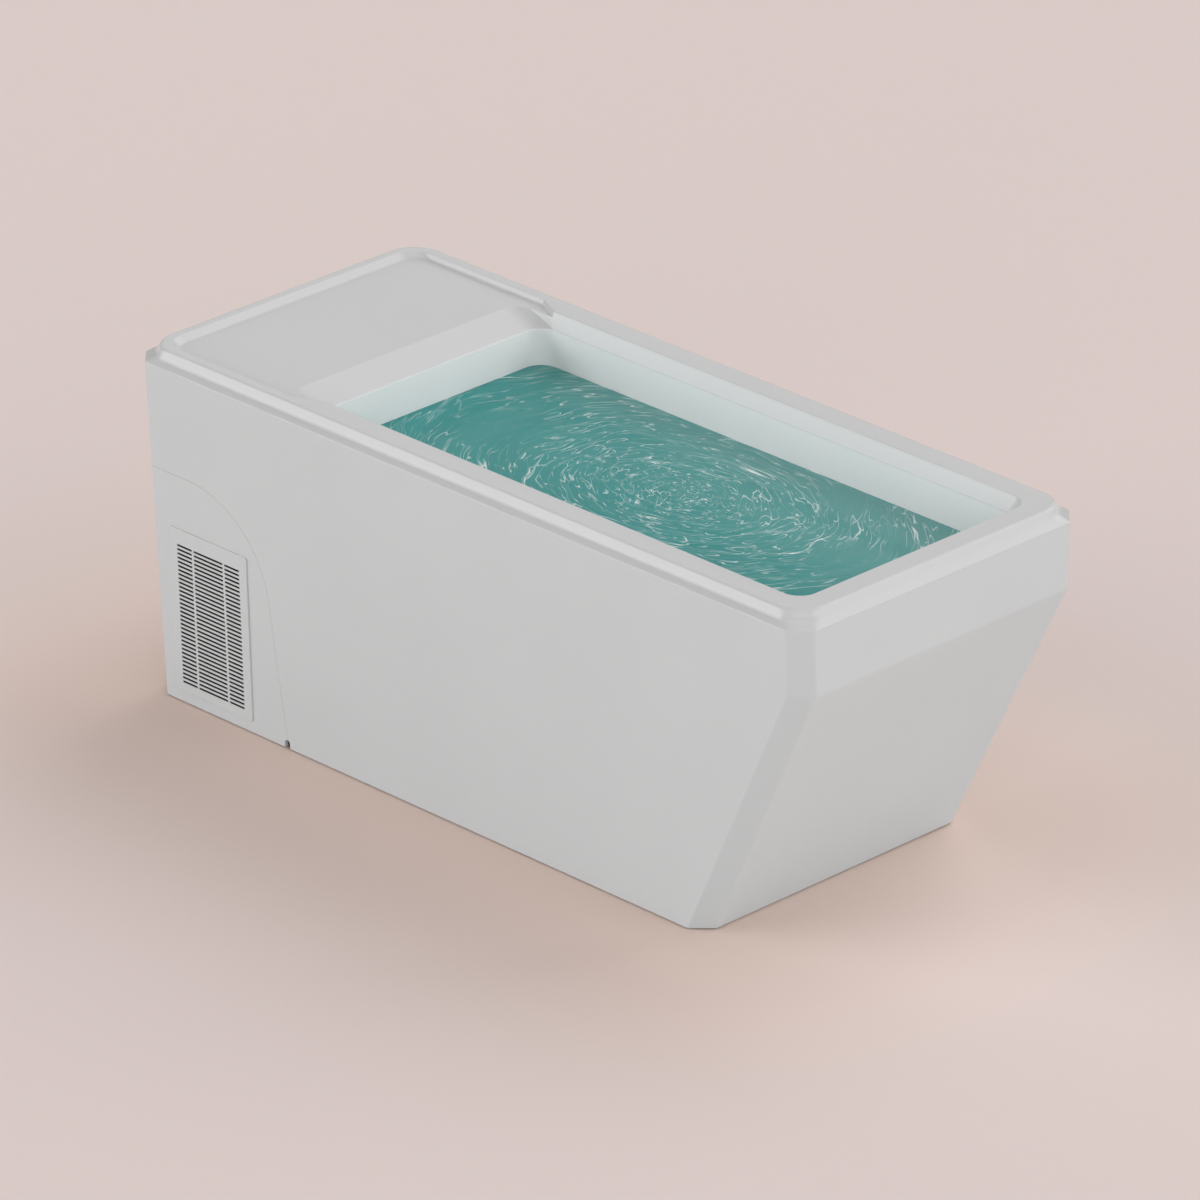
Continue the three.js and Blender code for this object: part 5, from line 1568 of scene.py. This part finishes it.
def add_clamp(mesh, start, towards):
    """A steel band near a hose's end, with its screw housing on top."""
    wide, inner, outer = 11, HOSE_RADIUS - 0.2, HOSE_RADIUS + 1.1
    foot = start + towards * 6 * MM
    corners = [(inner, 0, 0), (outer, 0, 0.3), (outer, wide, 0.3), (inner, wide, 0)]
    add_profile(mesh, corners, 2, foot, towards, 48, closed=True)
    low, high = in_metres([(-7, outer - 1, 1), (7, outer + 6, wide - 1)])
    add_soft_block(mesh, low, high, 1.2 * MM, 2, stand(foot, towards))


def refrigerant_lines(material):
    for node, points in LINE_ROUTES.items():
        route = smooth_route(points, 18)
        mesh = bmesh.new()
        add_tube(mesh, route, LINE_RADIUS * MM, 20)
        for start, towards in route_ends(route):
            add_profile(mesh, BRAZED_COLLAR, 3, start, towards, 24)
        add_piece(f"{node}_pipe", mesh, 35, material, "copper", node)


# Controls, drain and fittings

PAN_HEAD = [(0, -1, 0), (3.6, -1, 0), (3.6, 0.6, 1), (1.9, 2, 1), (1.7, 1, 0.2), (0, 0.9, 0)]
LAMP_LENS = [(0, -2, 0), (5, -2, 0.3), (5, 2, 1.5), (0, 3.4, 0)]


def control_box(case_finish, lamp_finish, steel):
    low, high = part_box("control_box")
    rocker = Vector((low.x, 130 * MM, 550 * MM))
    groove = low.x + 18 * MM
    over, keep = Vector((0, MM, MM)), Vector((0, 2 * MM, 2 * MM))
    ring_low = Vector((groove, low.y, low.z)) - over
    ring = box_object("ring", ring_low, Vector((groove + 1.2 * MM, high.y, high.z)) + over)
    carve(ring, [("DIFFERENCE", box_object("core", Vector(low) + keep, Vector(high) - keep))])
    pocket_low = rocker - Vector((MM, 7.3 * MM, 12 * MM))
    pocket = box_object("pocket", pocket_low, rocker + Vector((12 * MM, 7.3 * MM, 12 * MM)))
    case = box_object("control_case", low, high)
    carve(case, [("DIFFERENCE", ring), ("DIFFERENCE", pocket)])
    soften(case, 1.6 * MM, 3, 40)
    dress(case, "tub", case_finish, ("control_box",))

    mesh = bmesh.new()
    add_profile(mesh, LAMP_LENS, 4, rocker - Vector((0, 34 * MM, 0)), TO_HEAD, 32)
    add_piece("control_lamp", mesh, 40, lamp_finish, "lever")

    inset = 12 * MM
    across, up = (low.y + inset, high.y - inset), (low.z + inset, high.z - inset)
    screws("control_box_screws", [(low.x, y, z) for y in across for z in up], steel)


def screws(name, places, material):
    """Pan-head screws that face the head end, one at each place, as one piece."""
    mesh = bmesh.new()
    add_profile(mesh, PAN_HEAD, 2, (0, 0, 0), TO_HEAD, 20)
    screw = new_object("screw", mesh)
    mesh = bmesh.new()
    add_ring(mesh, places)
    mesh = repeated(mesh, FASTENERS, {"Fastener": screw})
    bpy.data.objects.remove(screw)
    return add_piece(name, mesh, 35, material, "steel")


def bulkhead_screws(material):
    low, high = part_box("bulkhead")
    inset = 14 * MM
    heights = [low.z + inset + (high.z - low.z - 2 * inset) * i / 5 for i in range(6)]
    places = [(low.x, y, z) for y in (low.y + inset, high.y - inset) for z in heights]
    return screws("bulkhead_screws", places, material)


def drain_valve(brass):
    low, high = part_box("drain_valve_body")
    radius = (high.y - low.y) / 2
    x, z = (low.x + high.x) / 2, low.z + radius
    ball, length = radius / MM, (high.x - low.x) / MM
    neck, end = ball - 5, ball - 1.5
    corners = [(0, 0, 0), (end, 0, 2), (end, 20, 2), (neck, 23, 2), (neck, 27, 2)]
    corners += [(ball, length / 2 - 9, 8), (ball, length / 2 + 9, 8), (neck, length - 27, 2)]
    corners += [(neck, length - 23, 2), (end, length - 20, 2), (end, length, 2), (0, length, 0)]
    mesh = bmesh.new()
    add_profile(mesh, corners, 4, (low.x, 0, z), ALONG)
    hexagon = [(0, 0, 0), (ball, 0, 1), (ball, 18, 1), (0, 18, 0)]
    for start in (low.x + MM, high.x - 19 * MM):
        add_profile(mesh, hexagon, 2, (start, 0, z), ALONG, 6)
    add_cylinder(mesh, (x, 0, z), UP, 8 * MM, high.z - z)
    add_cylinder(mesh, (x, 0, z + radius - 3 * MM), UP, 12 * MM, 9 * MM, MM)
    add_piece("valve_body", mesh, 30, brass, "brass", "drain_valve_body")

    low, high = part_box("drain_hose_tail")
    barb = (high.y - low.y) / 2 / MM
    corners = [(0, 0, 0), (barb, 0, 1), (barb, 14, 1), (15, 15.4, 1)]
    for start in (15.4, 30.8):
        corners += [(15, start + 1, 0.4), (barb, start + 5, 0.6), (15.5, start + 10, 1)]
    corners += [(15, 46, 1), (11, 46, 1), (11, 30, 1), (0, 30, 0)]
    mesh = bmesh.new()
    add_profile(mesh, corners, 3, (high.x, 0, (low.z + high.z) / 2), TO_HEAD, 48)
    add_piece("hose_tail_barbs", mesh, 30, brass, "brass", "drain_hose_tail")


def wall_fitting(node, name, material):
    """A flanged wall fitting with a dished face in the basin and a tail behind."""
    low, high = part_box(node)
    flange, length, tail = (high.y - low.y) / 2 / MM, (high.x - low.x) / MM, 24
    seat = length - 8 + FIT_GAP / MM
    corners = [(0, 0, 0), (tail, 0, 1.5), (tail, seat, 1), (flange, seat, 1), (flange - 3, length, 3)]
    corners += [(tail, length, 2), (tail - 4, length - 4, 2), (0, length - 3, 0)]
    mesh = bmesh.new()
    add_profile(mesh, corners, 4, (low.x, (low.y + high.y) / 2, (low.z + high.z) / 2), ALONG)
    return add_piece(name, mesh, 30, material, "fitting", node)


def floor_drain(material):
    low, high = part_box("floor_drain")
    flange, length, pipe = (high.x - low.x) / 2 / MM, (high.z - low.z) / MM, 17
    seat = length - 5 + FIT_GAP / MM
    corners = [(0, 0, 0), (pipe, 0, 1), (pipe, seat, 1), (flange, seat, 1), (flange - 3, length, 3)]
    corners += [(flange - 9, length, 1), (flange - 12, length - 3, 1), (0, length - 3, 0)]
    mesh = bmesh.new()
    add_profile(mesh, corners, 4, ((low.x + high.x) / 2, 0, low.z), UP)
    return add_piece("floor_strainer", mesh, 30, material, "fitting", "floor_drain")


def foot_pads(material):
    for number in range(1, 7):
        node = f"foot_pad_{number}"
        low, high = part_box(node)
        radius, tall = (high.x - low.x) / 2 / MM, (high.z - low.z) / MM
        corners = [(0, 0, 0), (radius - 2, 0, 1), (radius, 3, 1), (radius, tall, 1), (0, tall, 0)]
        mesh = bmesh.new()
        add_profile(mesh, corners, 3, ((low.x + high.x) / 2, (low.y + high.y) / 2, low.z), UP, 48)
        add_piece(f"pad_{number}", mesh, 30, material, "rubber", node)


# Stage: floor, light and camera

# Each softbox: its name, azimuth, elevation and breadth in degrees, and the light on a surface facing it
SOFTBOXES = (
    ("left", -42, 10, 50, 0.595),
    ("front", 45, 10, 60, 0.373),
    ("right", 105, 14, 60, 0.405),
    ("back", 170, 42, 60, 0.43),
    ("far_left", 225, 28, 42, 0.09),
    ("top", 0, 78, 42, 0.142),
)
DOME_LIGHT = 0.08
# From where to where the painted shadow warms the floor's tone towards the tub, in metres outside its
# footprint
PAINTED_SHADOW_REACH = (-0.25, 1.0)
# The photograph's view: a long lens from about 25 degrees above, nearly on the corner
CAMERA_AZIMUTH = math.radians(45.2526)
CAMERA_ELEVATION = math.radians(24.8805)
CAMERA_LENS = 300.1
CAMERA_DISTANCE = 20.105
CAMERA_SHIFT = (0.0013, 0.3462)


def direction(azimuth, elevation):
    flat = math.cos(elevation)
    return Vector((math.sin(azimuth) * flat, -math.cos(azimuth) * flat, math.sin(elevation)))


def aimed(name, data, place, towards):
    """Stands a lamp or the camera in a place, looking back from a direction."""
    made = bpy.data.objects.new(name, data)
    bpy.context.scene.collection.objects.link(made)
    made.location = place
    made.rotation_mode = "QUATERNION"
    made.rotation_quaternion = (-towards).to_track_quat("-Z", "Y")
    return made


def floor_finish():
    """Pale rose to the eye and in reflections, with a painted shadow that makes it warmer near the tub,
    and grey in the light that it throws back."""
    finish = Finish("floor", {"Roughness": 0.9, "Specular IOR Level": 0.1})
    seen = finish.node("ShaderNodeLightPath", output="Is Camera Ray")
    rays = seen.socket.node.outputs
    for name in ("Is Glossy Ray", "Is Transmission Ray"):
        seen = seen.most(Signal(finish, rays[name]))
    x, y = finish.axes()[:2]
    x0, x1, y1 = walls_at(0, even_inset(0))
    beside = ((x - (x0 + x1) / 2).size() - (x1 - x0) / 2).most(0.0)
    ahead = (y.size() - y1).most(0.0)
    away = (beside * beside + ahead * ahead).root().step(*PAINTED_SHADOW_REACH)
    # painted shadow: a warmer, slightly darker floor tone close to the tub
    rose_with_painted_shadow = finish.mix(away, colour(233, 210, 198), colour(233, 217, 213))
    finish.surface({"Base Color": finish.mix(seen, colour(232, 232, 232), rose_with_painted_shadow)})
    return finish.material


def studio():
    mesh = bmesh.new()
    bmesh.ops.create_grid(mesh, x_segments=1, y_segments=1, size=60)
    floor = new_object("floor", mesh)
    floor.data.materials.append(floor_finish())

    world = bpy.data.worlds.new("studio")
    bpy.context.scene.world = world
    world.use_nodes = True
    sky = world.node_tree.nodes["Background"].inputs
    sky["Color"].default_value = (1, 1, 1, 1)
    sky["Strength"].default_value = DOME_LIGHT

    for name, azimuth, elevation, breadth, level in SOFTBOXES:
        lamp = bpy.data.lights.new(f"softbox_{name}", "SUN")
        lamp.energy = level * math.pi
        lamp.angle = math.radians(breadth)
        towards = direction(math.radians(azimuth), math.radians(elevation))
        aimed(lamp.name, lamp, towards * 7, towards)


def camera():
    back = direction(CAMERA_AZIMUTH, CAMERA_ELEVATION)
    right = Vector((math.cos(CAMERA_AZIMUTH), math.sin(CAMERA_AZIMUTH), 0))
    place = back * CAMERA_DISTANCE + right * CAMERA_SHIFT[0] + back.cross(right) * CAMERA_SHIFT[1]
    data = bpy.data.cameras.new("camera")
    data.lens = CAMERA_LENS
    data.sensor_width = 36
    data.clip_end = 200
    bpy.context.scene.camera = aimed("camera", data, place, back)


bpy.context.scene.view_settings.view_transform = "Standard"
studio()
camera()
shell_finish = shell_plastic()
fixed_shell(shell_finish)
service_cover(shell_finish)
tub_moulding(tub_plastic())
water_body(still_water())

painted_shade_finish = painted_shade_foam()
for vent_side in ("near", "far"):
    vent_grille(vent_side, shell_finish)
    vent_painted_shade(vent_side, painted_shade_finish)

zinc = zinc_sheet()
steel = bare_metal("brushed_steel", colour(176, 179, 181), colour(150, 153, 156), 0.26, (1.0, 1.0, 30.0))
copper = bare_metal("copper_pipe", colour(196, 122, 84), colour(138, 84, 60), 0.24, (4.0, 4.0, 4.0))
brass = bare_metal("cast_brass", colour(190, 164, 96), colour(150, 126, 70), 0.3, (6.0, 6.0, 6.0))
aluminium = bare_metal(
    "aluminium_fin", colour(186, 189, 192), colour(156, 160, 164), 0.38, (1.0, 1.0, 12.0)
)
enamel_black = enamel("black_enamel", colour(26, 27, 29))
dark_plastic = moulded_plastic("dark_plastic", colour(44, 47, 51), colour(54, 57, 61), 0.48)
sheet_plastic = moulded_plastic("bulkhead_sheet", colour(62, 66, 70), colour(74, 78, 82), 0.55)
white_plastic = moulded_plastic("white_fitting", colour(214, 216, 215), colour(226, 228, 227), 0.36)
lever_red = moulded_plastic("lever_dip", colour(164, 34, 28), colour(182, 46, 38), 0.42)
lamp_green = moulded_plastic("lamp_lens", colour(60, 132, 84), colour(84, 156, 104), 0.2)
rubber = black_rubber()
birch = birch_plywood()

compressor(enamel_black, copper, dark_plastic)
condenser(aluminium, copper)
fan_shroud(zinc)
fan_motor(enamel_black)
fan_rotor(dark_plastic)
heat_exchanger(steel)
circulation_pump(dark_plastic)
filter_housing(white_plastic)
filter_lid(dark_plastic)
filter_cartridge(pleated_paper())
water_hoses(rubber, steel)
refrigerant_lines(copper)
control_box(dark_plastic, lamp_green, steel)
bulkhead_screws(steel)
drain_valve(brass)
soft_edged("drain_valve_lever", "valve_lever", "drain_lever", lever_red, 1.6 * MM)
soft_edged("power_rocker", "rocker_key", "power_rocker", lever_red, 0.6 * MM)
soft_edged("power_gland", "cable_gland", "tub", dark_plastic, 0.8 * MM)
wall_fitting("suction_fitting", "suction_flange", white_plastic)
wall_fitting("return_fitting", "return_flange", white_plastic)
floor_drain(white_plastic)
foot_pads(rubber)

kept_solids = {
    "insulation_foam": sprayed_foam(),
    "base_board": birch,
    "bearer_near": birch,
    "bearer_far": birch,
    "bulkhead": sheet_plastic,
    "cover_catch_rail": zinc,
    "drain_pipe": white_plastic,
}
for node, material in kept_solids.items():
    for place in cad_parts[node].material_slots:
        place.material = material
